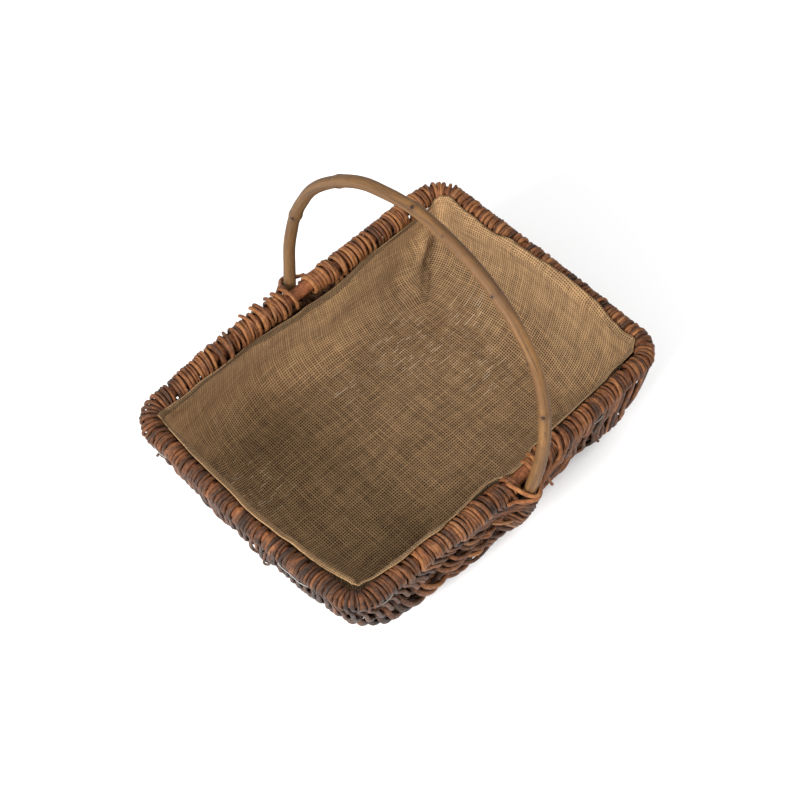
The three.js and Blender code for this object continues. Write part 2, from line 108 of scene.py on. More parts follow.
def outline(t, a1, a0, b, r):
    """Points and outward normals of the plan outline. Stations as in RIM_BOW."""
    t = np.mod(np.asarray(t, float), 8.0)
    k = np.floor(t).astype(int)
    f = t - k
    one = np.ones_like(t)
    a1, a0, b, r = a1 * one, a0 * one, b * one, r * one
    y0 = b - r
    ang = ((k - 1) // 2 + f) * np.pi / 2
    cx = np.where((k == 1) | (k == 7), a1 - r, -(a0 - r))
    cy = np.where((k == 1) | (k == 3), y0, -y0)
    px = np.select([k == 0, k == 2, k == 4, k == 6],
                   [a1, lerp(a1 - r, -(a0 - r), f), -a0, lerp(-(a0 - r), a1 - r, f)],
                   cx + r * np.cos(ang))
    py = np.select([k == 0, k == 2, k == 4, k == 6],
                   [lerp(-y0, y0, f), b, lerp(y0, -y0, f), -b], cy + r * np.sin(ang))
    nx = np.select([k == 0, k == 2, k == 4, k == 6], [one, 0 * one, -one, 0 * one], np.cos(ang))
    ny = np.select([k == 0, k == 2, k == 4, k == 6], [0 * one, one, 0 * one, -one], np.sin(ang))
    return np.stack([px, py], -1), np.stack([nx, ny], -1)


def rim_at(t, out=0.0, z=0.0):
    p, n = outline(t, RIM_A + out, RIM_A + out, RIM_B + out, RIM_CORNER_R + out)
    q = p + n * bow(t)[..., None]
    return np.stack([q[..., 0], q[..., 1], np.zeros_like(q[..., 0]) + z], -1), \
        np.stack([n[..., 0], n[..., 1], np.zeros_like(n[..., 0])], -1)


def profile(taper, e, z):
    """Offset of the wall's surface from the rim centreline at inset e, height z."""
    base = SKIN_OUT - taper * (-z / RIM_Z)
    s = np.clip((-z - (RIM_Z - BASE_ROUND)) / np.maximum(BASE_ROUND - e, 1), 0, 1)
    low = base - BASE_ROUND + (BASE_ROUND - e) * np.sqrt(1 - s * s)
    return np.where(z > -(RIM_Z - BASE_ROUND), base - e, low)


def outside(x, y, z, e):
    """Distance outside the body's surface at inset e."""
    d = np.clip(-z / RIM_Z, 0, 1)
    aR, aL = RIM_A + profile(TAPER_RIGHT, e, z), RIM_A + profile(TAPER_LEFT, e, z)
    a = np.where(x > 0, aR, aL)
    b = RIM_B + profile(TAPER_LONG, e, z)
    r = lerp(RIM_CORNER_R + SKIN_OUT, BASE_CORNER_R, d) - e * np.maximum(0.2, 1 - d * 0.6)
    qx, qy = np.abs(x) - a + r, np.abs(y) - b + r
    dist = np.minimum(np.maximum(qx, qy), 0) + np.hypot(np.maximum(qx, 0), np.maximum(qy, 0)) - r
    span, rise = aR + aL - 2 * r, 2 * (b - r)
    ang = np.arctan2(np.maximum(qy, 1e-9), np.maximum(qx, 1e-9)) / (np.pi / 2)
    corner = np.where(x > 0, np.where(y > 0, 1 + ang, 8 - ang), np.where(y > 0, 4 - ang, 5 + ang))
    short = np.where(x > 0, np.clip((y + b - r) / rise, 0, 1), 4 + np.clip((b - r - y) / rise, 0, 1))
    long_ = np.where(y > 0, 2 + np.clip((aR - r - x) / span, 0, 1), 6 + np.clip((x + aL - r) / span, 0, 1))
    t = np.where((qx > 0) & (qy > 0), corner, np.where(qx > qy, short, long_))
    v = dist - bow(t) * lerp(1, 0.85, d) - belly(t, z)
    return np.where(z < -(RIM_Z - e), 1.0, v)


def table(rows, z):
    rows = np.array(rows[::-1], float)
    return np.interp(z, rows[:, 0], rows[:, 1])


def leg_x(z):
    return np.where(z > 0, HANDLE_X + HANDLE_TILT * z, HANDLE_X + 0.06 * z)


def leg_bulge(p):
    """How far the weave stands out over the handle's legs."""
    u = (p[..., 0] - leg_x(p[..., 2])) / 15
    w = table(LEG_BULGE, p[..., 2]) * np.exp(-0.62 * u * u)
    return np.where(np.abs(p[..., 1]) > 90, w, 0) * np.sign(p[..., 1])


# The layer of the ribs, as arcs from the near ear to the far one: one arc for
# each angle below the rim plane, each cut into equal shares of its length.
E_MID = 9.6
ARC_DEG = np.linspace(0, 180, 241)
SHARES = np.linspace(0, 1, 481)


def arcs(e):
    phi = np.radians(ARC_DEG)[:, None]
    psi = np.radians(np.linspace(0, 180, 901))[None, :]
    d = np.stack(np.broadcast_arrays(-np.cos(phi) * np.sin(psi), -np.cos(psi) + 0 * phi,
                                     -np.sin(phi) * np.sin(psi)), -1)
    lo = np.full(d.shape[:2], 5.0)
    hi = np.full(d.shape[:2], 420.0)
    for _ in range(24):
        mid = (lo + hi) / 2
        inn = outside(EAR_X + d[..., 0] * mid, d[..., 1] * mid, d[..., 2] * mid, e) < 0
        lo, hi = np.where(inn, mid, lo), np.where(inn, hi, mid)
    p = d * lo[..., None]
    p[..., 0] += EAR_X
    cum = np.concatenate([np.zeros((len(phi), 1)), np.cumsum(np.linalg.norm(np.diff(p, axis=1), axis=-1), axis=1)], 1)
    out = np.empty((len(phi), len(SHARES), 3))
    for i in range(len(phi)):
        s = cum[i] / cum[i, -1]
        for c in range(3):
            out[i, :, c] = np.interp(SHARES, s, p[i, :, c])
    return out, cum[:, -1]


GRID, ARC_LEN = arcs(E_MID)
g = GRID[:, 4:-4]
du = np.gradient(g, axis=0)
dv = np.gradient(g, axis=1)
nrm = unit(np.cross(du, dv))
flip = np.sign((nrm * (g - np.array([EAR_X, 0, 10.0]))).sum(-1, keepdims=True))
nrm = nrm * flip
for _ in range(3):
    nrm[1:-1] = (nrm[:-2] + 2 * nrm[1:-1] + nrm[2:]) / 4
    nrm[:, 1:-1] = (nrm[:, :-2] + 2 * nrm[:, 1:-1] + nrm[:, 2:]) / 4
NORMALS = np.concatenate([nrm[:, :1].repeat(4, 1), unit(nrm), nrm[:, -1:].repeat(4, 1)], 1)


def on_grid(field, deg, share):
    a = np.clip(deg / 180 * (len(ARC_DEG) - 1), 0, len(ARC_DEG) - 1.001)
    b = np.clip(share * (len(SHARES) - 1), 0, len(SHARES) - 1.001)
    i, j = a.astype(int), b.astype(int)
    u, v = (a - i)[..., None], (b - j)[..., None]
    return (field[i, j] * (1 - u) * (1 - v) + field[i + 1, j] * u * (1 - v)
            + field[i, j + 1] * (1 - u) * v + field[i + 1, j + 1] * u * v)


# Rim centreline from the near ear to the far one, round the left and the right.
T_NEAR = 6 + (EAR_X + RIM_A - RIM_CORNER_R) / (2 * (RIM_A - RIM_CORNER_R))
T_FAR = 2 + (RIM_A - RIM_CORNER_R - EAR_X) / (2 * (RIM_A - RIM_CORNER_R))


def half_rim(t0, t1):
    t = np.linspace(t0, t1, 3001)
    p, n = rim_at(t)
    s = np.concatenate([[0], np.cumsum(np.linalg.norm(np.diff(p, axis=0), axis=1))])
    return {"t": t, "p": p, "n": n, "s": s, "len": s[-1]}


LEFT, RIGHT = half_rim(T_NEAR, T_FAR), half_rim(T_NEAR, T_FAR + 8)


def along(h, s):
    p = np.stack([np.interp(s, h["s"], h["p"][:, c]) for c in range(3)], -1)
    n = unit(np.stack([np.interp(s, h["s"], h["n"][:, c]) for c in range(3)], -1))
    return p, n


# --------------------------------------------------------------------- helpers
def arc_length(p):
    return np.concatenate([[0], np.cumsum(np.linalg.norm(np.diff(p, axis=0), axis=1))])


def resample(cols, step, dens=None):
    """cols: (n, k) with the point in the first three. Even steps, or by density."""
    s = arc_length(cols[:, :3])
    w = s if dens is None else np.concatenate([[0], np.cumsum(np.diff(s) * (dens[1:] + dens[:-1]) / 2)])
    n = max(3, int(round(w[-1] / step)) + 1)
    x = np.linspace(0, w[-1], n)
    return np.stack([np.interp(x, w, cols[:, c]) for c in range(cols.shape[1])], -1)


def ironed(p, passes):
    for _ in range(passes):
        q = p.copy()
        q[1:-1] = (p[:-2] + 2 * p[1:-1] + p[2:]) / 4
        p = q
    return p


def wander(r, s, wave, amp):
    """Smooth random values along a strand."""
    n = int((s[-1] - s[0]) / wave) + 3
    v = r.normal(0, amp, n)
    x = (s - s[0]) / wave
    i = np.clip(x.astype(int), 0, n - 2)
    f = smooth(x - i)
    return v[i] * (1 - f) + v[i + 1] * f


def spline(pts, step, closed=False):
    """A smooth curve through the points (Catmull-Rom), in even steps."""
    p = np.array(pts, float)
    n = len(p)
    if closed:
        q = np.vstack([p[-1:], p, p[:2]])
        m = n
    else:
        q = np.vstack([2 * p[:1] - p[1:2], p, 2 * p[-1:] - p[-2:-1]])
        m = n - 1
    out = []
    for i in range(m):
        a, b, c, d = q[i], q[i + 1], q[i + 2], q[i + 3]
        t = np.linspace(0, 1, 16, endpoint=False)[:, None]
        out.append(0.5 * (2 * b + (c - a) * t + (2 * a - 5 * b + 4 * c - d) * t ** 2
                          + (3 * b - a - 3 * c + d) * t ** 3))
    out = np.vstack(out + [q[m + 1][None]])
    return resample(out, step)


class Bag:
    """Collects the parts of one mesh: points, faces, uv and values per point."""

    def __init__(self):
        self.v, self.loops, self.totals, self.uv, self.smooth = [], [], [], [], []
        self.tone, self.tint, self.along = [], [], []
        self.n = 0

    def add(self, V, polys, tone=0.5, tint=0.5, along=None):
        """polys: list of (array of faces, array of uv per loop, smooth)."""
        V = np.asarray(V, float).reshape(-1, 3)
        self.v.append(V)
        for value, store in ((tone, self.tone), (tint, self.tint), (0.0 if along is None else along, self.along)):
            store.append(np.broadcast_to(np.asarray(value, float), (len(V),)).copy())
        for f, uv, sm in polys:
            f = np.asarray(f)
            self.loops.append((f + self.n).ravel())
            self.totals.append(np.full(len(f), f.shape[1]))
            self.uv.append(np.asarray(uv, float).reshape(-1, 2))
            self.smooth.append(np.full(len(f), sm))
        self.n += len(V)

    def build(self, name, material, floor=0.0002):
        V = (np.concatenate(self.v) + CENTRE) * 0.001
        V[:, 2] = np.maximum(V[:, 2], floor)
        loops = np.concatenate(self.loops).astype(np.int32)
        totals = np.concatenate(self.totals)
        starts = np.concatenate([[0], np.cumsum(totals)[:-1]]).astype(np.int32)
        me = bpy.data.meshes.new(name)
        me.vertices.add(len(V))
        me.vertices.foreach_set("co", V.astype(np.float32).ravel())
        me.loops.add(len(loops))
        me.loops.foreach_set("vertex_index", loops)
        me.polygons.add(len(totals))
        me.polygons.foreach_set("loop_start", starts)
        me.polygons.foreach_set("use_smooth", np.concatenate(self.smooth).astype(bool))
        layer = me.uv_layers.new(name="UVMap")
        layer.data.foreach_set("uv", (np.concatenate(self.uv) * 0.001).astype(np.float32).ravel())
        for key, store in (("tone", self.tone), ("tint", self.tint), ("along", self.along)):
            a = me.attributes.new(key, "FLOAT", "POINT")
            a.data.foreach_set("value", np.concatenate(store).astype(np.float32))
        me.update(calc_edges=True)
        me.validate()
        me.materials.append(material)
        ob = bpy.data.objects.new(name, me)
        bpy.context.scene.collection.objects.link(ob)
        return ob


def tube(bag, path, ref, hw, ht, sides=10, tone=0.5, tint=0.5, closed=False, round_ends=True, u0=0.0, lobes=None, square=1.0):
    """A strand of flattened round section along a path. ref points out of the
    weave; hw is half its width across, ht half its thickness."""
    path = np.asarray(path, float)
    n = len(path)
    ref = np.broadcast_to(np.asarray(ref, float), path.shape)
    hw = np.broadcast_to(np.asarray(hw, float), (n,)).copy()
    ht = np.broadcast_to(np.asarray(ht, float), (n,)).copy()
    if closed:
        tan = unit(np.roll(path, -1, 0) - np.roll(path, 1, 0))
    else:
        tan = unit(np.gradient(path, axis=0))
    nn = unit(ref - (ref * tan).sum(-1, keepdims=True) * tan)
    bb = np.cross(tan, nn)
    s = arc_length(path)
    tone = np.broadcast_to(np.asarray(tone, float), (n,)).copy()
    tint = np.broadcast_to(np.asarray(tint, float), (n,)).copy()
    square = np.broadcast_to(np.asarray(square, float), (n,)).copy()
    if not closed and round_ends:
        # a cut end: two more rings that draw in a little
        def cap(i, sgn):
            k = min(hw[i], ht[i]) * 0.35
            return path[i] + tan[i] * sgn * k
        path = np.vstack([cap(0, -1), path, cap(-1, 1)])
        nn = np.vstack([nn[:1], nn, nn[-1:]])
        bb = np.vstack([bb[:1], bb, bb[-1:]])
        hw = np.concatenate([[hw[0] * 0.72], hw, [hw[-1] * 0.72]])
        ht = np.concatenate([[ht[0] * 0.72], ht, [ht[-1] * 0.72]])
        s = np.concatenate([[s[0] - 0.5], s, [s[-1] + 0.5]])
        tone = np.concatenate([tone[:1], tone, tone[-1:]])
        tint = np.concatenate([tint[:1], tint, tint[-1:]])
        square = np.concatenate([square[:1], square, square[-1:]])
        n += 2
    a = 2 * np.pi * np.arange(sides) / sides
    ca, sa = np.cos(a), np.sin(a)
    k = 1.0 if lobes is None else lobes
    cx = np.sign(ca)[None] * np.abs(ca)[None] ** square[:, None]
    cy = np.sign(sa)[None] * np.abs(sa)[None] ** square[:, None]
    V = path[:, None] + (bb[:, None] * cx[:, :, None] * hw[:, None, None]
                         + nn[:, None] * cy[:, :, None] * ht[:, None, None]) * k
    i = np.arange(n if closed else n - 1)[:, None]
    j = np.arange(sides)[None, :]
    i2, j2 = (i + 1) % n, (j + 1) % sides
    quads = np.stack(np.broadcast_arrays(i * sides + j, i2 * sides + j, i2 * sides + j2, i * sides + j2), -1).reshape(-1, 4)
    per = 2 * np.pi * float(np.mean(np.sqrt((hw ** 2 + ht ** 2) / 2)))
    u = s + u0
    ua = u[i[:, 0]]
    ub = np.concatenate([u[1:], [u[-1] + np.linalg.norm(path[0] - path[-1])]])[i[:, 0]] if closed else u[i[:, 0] + 1]
    ua, ub = np.broadcast_arrays(ua[:, None], ub[:, None])
    va = np.broadcast_to(np.arange(sides)[None, :] / sides * per, (len(i), sides))
    vb = va + per / sides
    ua, ub = np.broadcast_to(ua, va.shape), np.broadcast_to(ub, va.shape)
    uv = np.stack([np.stack([ua, va], -1), np.stack([ub, va], -1), np.stack([ub, vb], -1), np.stack([ua, vb], -1)], 2)
    polys = [(quads, uv.reshape(-1, 2), True)]
    if not closed:
        uvc = np.stack([u0 + 1.5 * ca, 1.5 * sa], -1)
        polys.append((np.arange(sides)[::-1][None], uvc[::-1], False))
        polys.append(((n - 1) * sides + np.arange(sides)[None], uvc, False))
    bag.add(V.reshape(-1, 3), polys, np.repeat(tone, sides), np.repeat(tint, sides), np.repeat(s, sides))


# ------------------------------------------------------------------- materials
class Nodes:
    """Short calls for building a node material."""

    def __init__(self, name):
        self.mat = bpy.data.materials.new(name)
        self.mat.use_nodes = True
        self.t = self.mat.node_tree
        self.t.nodes.clear()
        self.out = self.t.nodes.new("ShaderNodeOutputMaterial")
        self.bsdf = self.t.nodes.new("ShaderNodeBsdfPrincipled")
        self.t.links.new(self.bsdf.outputs[0], self.out.inputs[0])

    def new(self, kind, **props):
        n = self.t.nodes.new("ShaderNode" + kind)
        for k, v in props.items():
            setattr(n, k, v)
        return n

    def link(self, a, b):
        self.t.links.new(a, b)

    def put(self, value, socket):
        if isinstance(value, bpy.types.NodeSocket):
            self.link(value, socket)
        else:
            socket.default_value = value

    def math(self, op, a, b=None, c=None, clamp=False):
        n = self.new("Math", operation=op, use_clamp=clamp)
        for i, v in enumerate((a, b, c)):
            if v is not None:
                self.put(v, n.inputs[i])
        return n.outputs[0]

    def mix(self, fac, a, b, blend="MIX"):
        n = self.new("Mix", data_type="RGBA", blend_type=blend)
        self.put(fac, n.inputs[0])
        for v, s in ((a, n.inputs[6]), (b, n.inputs[7])):
            if isinstance(v, bpy.types.NodeSocket):
                self.link(v, s)
            else:
                s.default_value = (*v, 1)
        return n.outputs[2]

    def attr(self, name):
        return self.new("Attribute", attribute_type="GEOMETRY", attribute_name=name).outputs["Fac"]

    def uv(self):
        return self.new("UVMap", uv_map="UVMap").outputs[0]

    def coords(self):
        return self.new("TexCoord").outputs["Object"]

    def scaled(self, vec, x, y, z=1.0):
        n = self.new("Mapping")
        self.put(vec, n.inputs["Vector"])
        n.inputs["Scale"].default_value = (x, y, z)
        return n.outputs[0]

    def noise(self, vec, scale, detail=3.0, rough=0.55, dim="3D"):
        n = self.new("TexNoise", noise_dimensions=dim)
        self.put(vec, n.inputs["Vector"])
        n.inputs["Scale"].default_value = scale
        n.inputs["Detail"].default_value = detail
        n.inputs["Roughness"].default_value = rough
        return n.outputs["Fac"]

    def ramp(self, fac, stops, interp="LINEAR"):
        n = self.new("ValToRGB")
        n.color_ramp.interpolation = interp
        el = n.color_ramp.elements
        while len(el) < len(stops):
            el.new(0.5)
        for e, (p, c) in zip(el, stops):
            e.position = p
            e.color = (*c, 1) if len(c) == 3 else c
        self.put(fac, n.inputs[0])
        return n.outputs[0]

    def remap(self, v, a, b, c, d, clamp=True):
        n = self.new("MapRange", clamp=clamp)
        self.put(v, n.inputs[0])
        for i, x in enumerate((a, b, c, d)):
            n.inputs[i + 1].default_value = x
        return n.outputs[0]

    def bump(self, height, strength, distance):
        n = self.new("Bump")
        n.inputs["Strength"].default_value = strength
        n.inputs["Distance"].default_value = distance
        self.put(height, n.inputs["Height"])
        return n.outputs[0]

    def finish(self, color, rough, normal=None, spec=0.4, **extra):
        self.put(color, self.bsdf.inputs["Base Color"])
        self.put(rough, self.bsdf.inputs["Roughness"])
        self.bsdf.inputs["Specular IOR Level"].default_value = spec
        if normal is not None:
            self.link(normal, self.bsdf.inputs["Normal"])
        for k, v in extra.items():
            self.bsdf.inputs[k].default_value = v
        return self.mat


def willow(name, bright=1.0, red=0.0):
    """Willow in its bark: colour by strand, streaks along it, dark patches."""
    m = Nodes(name)
    uv = m.uv()
    tone, tint = m.attr("tone"), m.attr("tint")
    along = m.noise(m.scaled(uv, 60, 800, 1), 1.0, 4, 0.62)
    patch = m.noise(m.coords(), 46, 3, 0.55)
    mottle = m.noise(m.coords(), 210, 3, 0.6)
    worn = m.noise(m.coords(), 150, 4, 0.65)
    grain = m.noise(m.scaled(uv, 180, 2600, 1), 1.0, 3, 0.7)
    t = m.math("ADD", tone, m.math("MULTIPLY", m.math("SUBTRACT", along, 0.5), 0.75))
    t = m.math("ADD", t, m.math("MULTIPLY", m.math("SUBTRACT", mottle, 0.5), 0.85))
    t = m.math("ADD", t, m.math("MULTIPLY", m.math("SUBTRACT", patch, 0.5), 0.65), clamp=True)
    b = bright
    col = m.ramp(t, [
        (0.0, (0.030 * b, 0.0145 * b, 0.0085 * b)),
        (0.25, (0.058 * b, 0.0255 * b, 0.0128 * b)),
        (0.5, (0.145 * b, (0.053 - 0.003 * red) * b, 0.0200 * b)),
        (0.75, (0.282 * b, (0.101 - 0.008 * red) * b, 0.0335 * b)),
        (1.0, (0.440 * b, 0.186 * b, 0.065 * b)),
    ])
    grey = m.ramp(t, [(0.0, (0.026 * b, 0.016 * b, 0.010 * b)), (0.5, (0.100 * b, 0.049 * b, 0.026 * b)),
                      (1.0, (0.238 * b, 0.130 * b, 0.069 * b))])
    col = m.mix(m.remap(tint, 0.64, 1.0, 0.0, 0.50), col, grey)
    col = m.mix(m.remap(worn, 0.60, 0.74, 0.0, 0.30), col, (0.330 * b, 0.190 * b, 0.095 * b))
    col = m.mix(m.remap(grain, 0.35, 0.7, 0.0, 0.35), col, m.mix(1.0, col, (0.50, 0.46, 0.42), "MULTIPLY"))
    h = m.math("ADD", m.math("MULTIPLY", along, 0.8), m.math("MULTIPLY", grain, 0.5))
    h = m.math("ADD", h, m.math("MULTIPLY", mottle, 0.7))
    normal = m.bump(h, 0.8, 0.0012)
    rough = m.remap(along, 0.3, 0.7, 0.45, 0.68)
    return m.finish(col, rough, normal, 0.22)


SCARS = []                 # place and size, filled in with the rod


def peeled(name):
    """Peeled and weathered rod: grey tan, faint streaks, darker knots."""
    m = Nodes(name)
    uv = m.uv()
    tone = m.attr("tone")
    tint = m.attr("tint")
    streak = m.noise(m.scaled(uv, 9, 210, 1), 1.0, 5, 0.62)
    fine = m.noise(m.scaled(uv, 60, 1500, 1), 1.0, 3, 0.6)
    blot = m.noise(m.coords(), 17, 4, 0.6)
    speck = m.noise(m.coords(), 260, 2, 0.5)
    light, dark = (0.186, 0.090, 0.0285), (0.033, 0.0155, 0.006)
    grey = (0.080, 0.037, 0.0145)
    col = m.mix(m.remap(streak, 0.33, 0.58, 0.0, 1.0), dark, light)
    col = m.mix(m.remap(blot, 0.42, 0.60, 0.0, 0.72), col, grey)
    spots = m.noise(m.scaled(uv, 130, 420, 1), 1.0, 3, 0.6)
    col = m.mix(m.remap(spots, 0.55, 0.66, 0.0, 0.6), col, (0.056, 0.026, 0.011))
    col = m.mix(tone, col, m.mix(0.62, col, (0.062, 0.036, 0.019)))
    col = m.mix(m.remap(speck, 0.66, 0.78, 0.0, 0.45), col, (0.10, 0.062, 0.038))
    col = m.mix(m.remap(fine, 0.35, 0.65, 0.0, 0.25), col, (0.21, 0.112, 0.046))
    col = m.mix(tint, col, (0.030, 0.017, 0.012))
    # scars of side shoots
    for x, y, z, rad in SCARS:
        d = m.new("VectorMath", operation="DISTANCE")
        m.link(m.coords(), d.inputs[0])
        d.inputs[1].default_value = (x, y, z)
        near = m.math("ADD", d.outputs["Value"], m.math("MULTIPLY", m.math("SUBTRACT", speck, 0.5), rad * 0.9))
        col = m.mix(m.remap(near, rad * 1.1, rad * 3.4, 0.5, 0.0), col, (0.066, 0.030, 0.012))
        col = m.mix(m.remap(near, rad * 0.7, rad * 1.25, 0.94, 0.0), col, (0.016, 0.008, 0.005))
    h = m.math("ADD", m.math("MULTIPLY", streak, 0.8), m.math("MULTIPLY", fine, 0.4))
    h = m.math("ADD", h, m.math("MULTIPLY", spots, 0.5))
    normal = m.bump(h, 0.55, 0.0010)
    return m.finish(col, m.remap(streak, 0.2, 0.8, 0.66, 0.52), normal, 0.2)


SLUBS = [(-0.152, 0.060, 0.030, 0.050), (0.088, 0.078, 0.027, 0.056), (0.150, 0.060, 0.040, 0.036), (0.120, 0.000, 0.025, 0.038), (0.0, 0.09, 0.03, 0.03)]


def hessian(name, pitch=0.00262, hem=False):
    """Plain-woven jute. The threads are drawn in the cloth's own flat measures."""
    m = Nodes(name)
    uv = m.uv()
    # threads wander a little
    wob = m.new("TexNoise", noise_dimensions="2D")
    m.put(uv, wob.inputs["Vector"])
    wob.inputs["Scale"].default_value = 38
    wob.inputs["Detail"].default_value = 2
    sub = m.new("VectorMath", operation="SUBTRACT")
    m.link(wob.outputs["Color"], sub.inputs[0])
    sub.inputs[1].default_value = (0.5, 0.5, 0.5)
    sc = m.new("VectorMath", operation="SCALE")
    m.link(sub.outputs[0], sc.inputs[0])
    sc.inputs["Scale"].default_value = 0.0018
    add = m.new("VectorMath", operation="ADD")
    m.link(uv, add.inputs[0])
    m.link(sc.outputs[0], add.inputs[1])
    sep = m.new("SeparateXYZ")
    m.link(add.outputs[0], sep.inputs[0])
    u = m.math("DIVIDE", sep.outputs[0], pitch)
    v = m.math("DIVIDE", sep.outputs[1], pitch)
    fu, fv = m.math("FRACT", u), m.math("FRACT", v)
    iu, iv = m.math("FLOOR", u), m.math("FLOOR", v)
    # thread thickness: one random value for each thread, changing slowly along it
    def thick(i, run):
        c = m.new("CombineXYZ")
        m.put(m.math("MULTIPLY", i, 7.31), c.inputs[0])
        m.put(m.math("MULTIPLY", run, 0.07), c.inputs[1])
        return m.noise(c.outputs[0], 1.0, 1.5, 0.6, "2D")
    tu, tv = thick(iu, v), thick(m.math("ADD", iv, 57.0), u)
    # round thread profiles across their width
    def across(f, t):
        x = m.math("ABSOLUTE", m.math("SUBTRACT", f, 0.5))
        half = m.remap(t, 0.28, 0.72, 0.24, 0.395)
        r = m.math("DIVIDE", x, half)
        return m.math("SQRT", m.math("MAXIMUM", m.math("SUBTRACT", 1.0, m.math("MULTIPLY", r, r)), 0.0))
    au, av = across(fu, tu), across(fv, tv)
    par = m.math("MODULO", m.math("ABSOLUTE", m.math("ADD", iu, iv)), 2.0)
    # height of each system of threads: up at one crossing, down at the next
    wave_u = m.math("MULTIPLY", m.math("SINE", m.math("MULTIPLY", m.math("ADD", v, iu), math.pi)), 0.5)
    wave_v = m.math("MULTIPLY", m.math("SINE", m.math("MULTIPLY", m.math("ADD", u, m.math("ADD", iv, 1.0)), math.pi)), 0.5)
    hu = m.math("MULTIPLY", au, m.math("ADD", m.math("ABSOLUTE", wave_u), 0.5))
    hv = m.math("MULTIPLY", av, m.math("ADD", m.math("ABSOLUTE", wave_v), 0.5))
    over = m.math("GREATER_THAN", par, 0.5)
    first = m.math("MAXIMUM", m.math("MULTIPLY", au, m.math("ADD", m.math("MULTIPLY", over, 0.25), 0.75)),
                   m.math("MULTIPLY", av, m.math("ADD", m.math("MULTIPLY", m.math("SUBTRACT", 1.0, over), 0.25), 0.75)))
    height = first
    big = m.noise(uv, 9, 4, 0.6)
    fibre = m.noise(m.coords(), 900, 3, 0.7)
    tone = m.attr("tone")
    # The holes, the low edges of the threads and the under-threads take a near-black colour: painted shade between and
    # under the threads. Tone lifts it on the lining.
    light, mid, hole_shade = (0.304, 0.177, 0.080), (0.178, 0.098, 0.042), (0.015, 0.0075, 0.0038)
    if hem:
        light, mid = [tuple(0.76 * v for v in c) for c in (light, mid)]
    thread = m.mix(m.remap(m.math("ADD", m.math("MULTIPLY", tu, 0.5), m.math("MULTIPLY", tv, 0.5)), 0.3, 0.7, 0.0, 1.0), mid, light)
    thread = m.mix(m.remap(fibre, 0.3, 0.7, 0.0, 0.35), thread, (0.44, 0.31, 0.18))
    thread = m.mix(m.remap(big, 0.3, 0.7, 0.0, 0.45), thread, m.mix(1.0, thread, (0.72, 0.66, 0.60), "MULTIPLY"))
    hole_shade = m.mix(m.remap(tone, -0.2, 1.2, 0.0, 0.85), hole_shade, (0.110, 0.060, 0.026))
    col = m.mix(m.remap(height, 0.34, 0.86, 0.0, 1.0), hole_shade, thread)
    # tone lifts the colour; on the lining it carries painted light, and painted shade where it is below zero
    lighter = m.math("ADD", 1.0, m.math("MULTIPLY", tone, 0.36))
    col = m.mix(1.0, col, lighter, "MULTIPLY")
    # pale slubs: short stretches of thick thread
    sl = m.new("CombineXYZ")
    m.put(m.math("MULTIPLY", u, 0.19), sl.inputs[0])
    m.put(m.math("MULTIPLY", iv, 5.17), sl.inputs[1])
    slub = m.remap(m.noise(sl.outputs[0], 1.0, 0.0, 0.5, "2D"), 0.635, 0.67, 0.0, 0.62)
    # they lie in a few places, in bunches
    pos = m.coords()
    where = 0.0
    for x, y, z, rad in SLUBS:
        d = m.new("VectorMath", operation="DISTANCE")
        m.link(pos, d.inputs[0])
        d.inputs[1].default_value = (x, y, z)
        where = m.math("MAXIMUM", where, m.remap(d.outputs["Value"], rad * 0.55, rad, 1.0, 0.0))
    slub = m.math("MULTIPLY", slub, where)
    slub = m.math("MULTIPLY", slub, m.remap(av, 0.35, 0.85, 0.0, 1.0))
    col = m.mix(slub, col, (0.345, 0.250, 0.160))
    normal = m.bump(m.math("ADD", height, m.math("MULTIPLY", fibre, 0.25)), 0.8, 0.0007)
    return m.finish(col, 0.95, normal, 0.15, **{"Sheen Weight": 0.03, "Sheen Roughness": 0.5})


def plain_wire(name):
    m = Nodes(name)
    n = m.noise(m.coords(), 120, 3, 0.6)
    col = m.mix(m.remap(n, 0.35, 0.65, 0, 1), (0.30, 0.29, 0.28), (0.46, 0.45, 0.43))
    m.bsdf.inputs["Metallic"].default_value = 0.6
    return m.finish(col, m.remap(n, 0.3, 0.7, 0.45, 0.65), None, 0.4)


M_WEAVE = willow("willow_weave", 0.63)
M_WRAP = willow("willow_wrap", 0.70)
M_LASH = willow("willow_lashing", 0.78, 0.3)
M_RIM = willow("willow_rim_rod", 0.90, 1.0)
M_RIB = willow("willow_rib", 0.5)
M_CLOTH = hessian("hessian")
M_HEM = hessian("hessian_hem", 0.0024, True)
M_WIRE = plain_wire("binding_wire")

pieces = {}


def keep(ob, slot, *nodes):
    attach(ob, "root")
    if nodes:
        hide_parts(*nodes)
    pieces[ob.name] = ob
    return ob


# ----------------------------------------------------------------------- weave
ROWS = 84                  # rows of weave from each ear to the middle
START = {"left": 17.0, "right": 34.0, "keel": 9.0}
E_OUT, E_IN = [2.4, 4.0, 4.2, 4.2], [14.4, 13.8, 13.6, 13.6]
KNOTS = [0] + RIB_ANGLES + [90] + [180 - a for a in reversed(RIB_ANGLES)] + [180]
KEEL_LEN = ARC_LEN[len(ARC_LEN) // 2]


def packed(x):
    """Rows lie wider apart beside the ears than in the middle of the base."""
    return x + 0.06 * np.sin(np.pi * x)


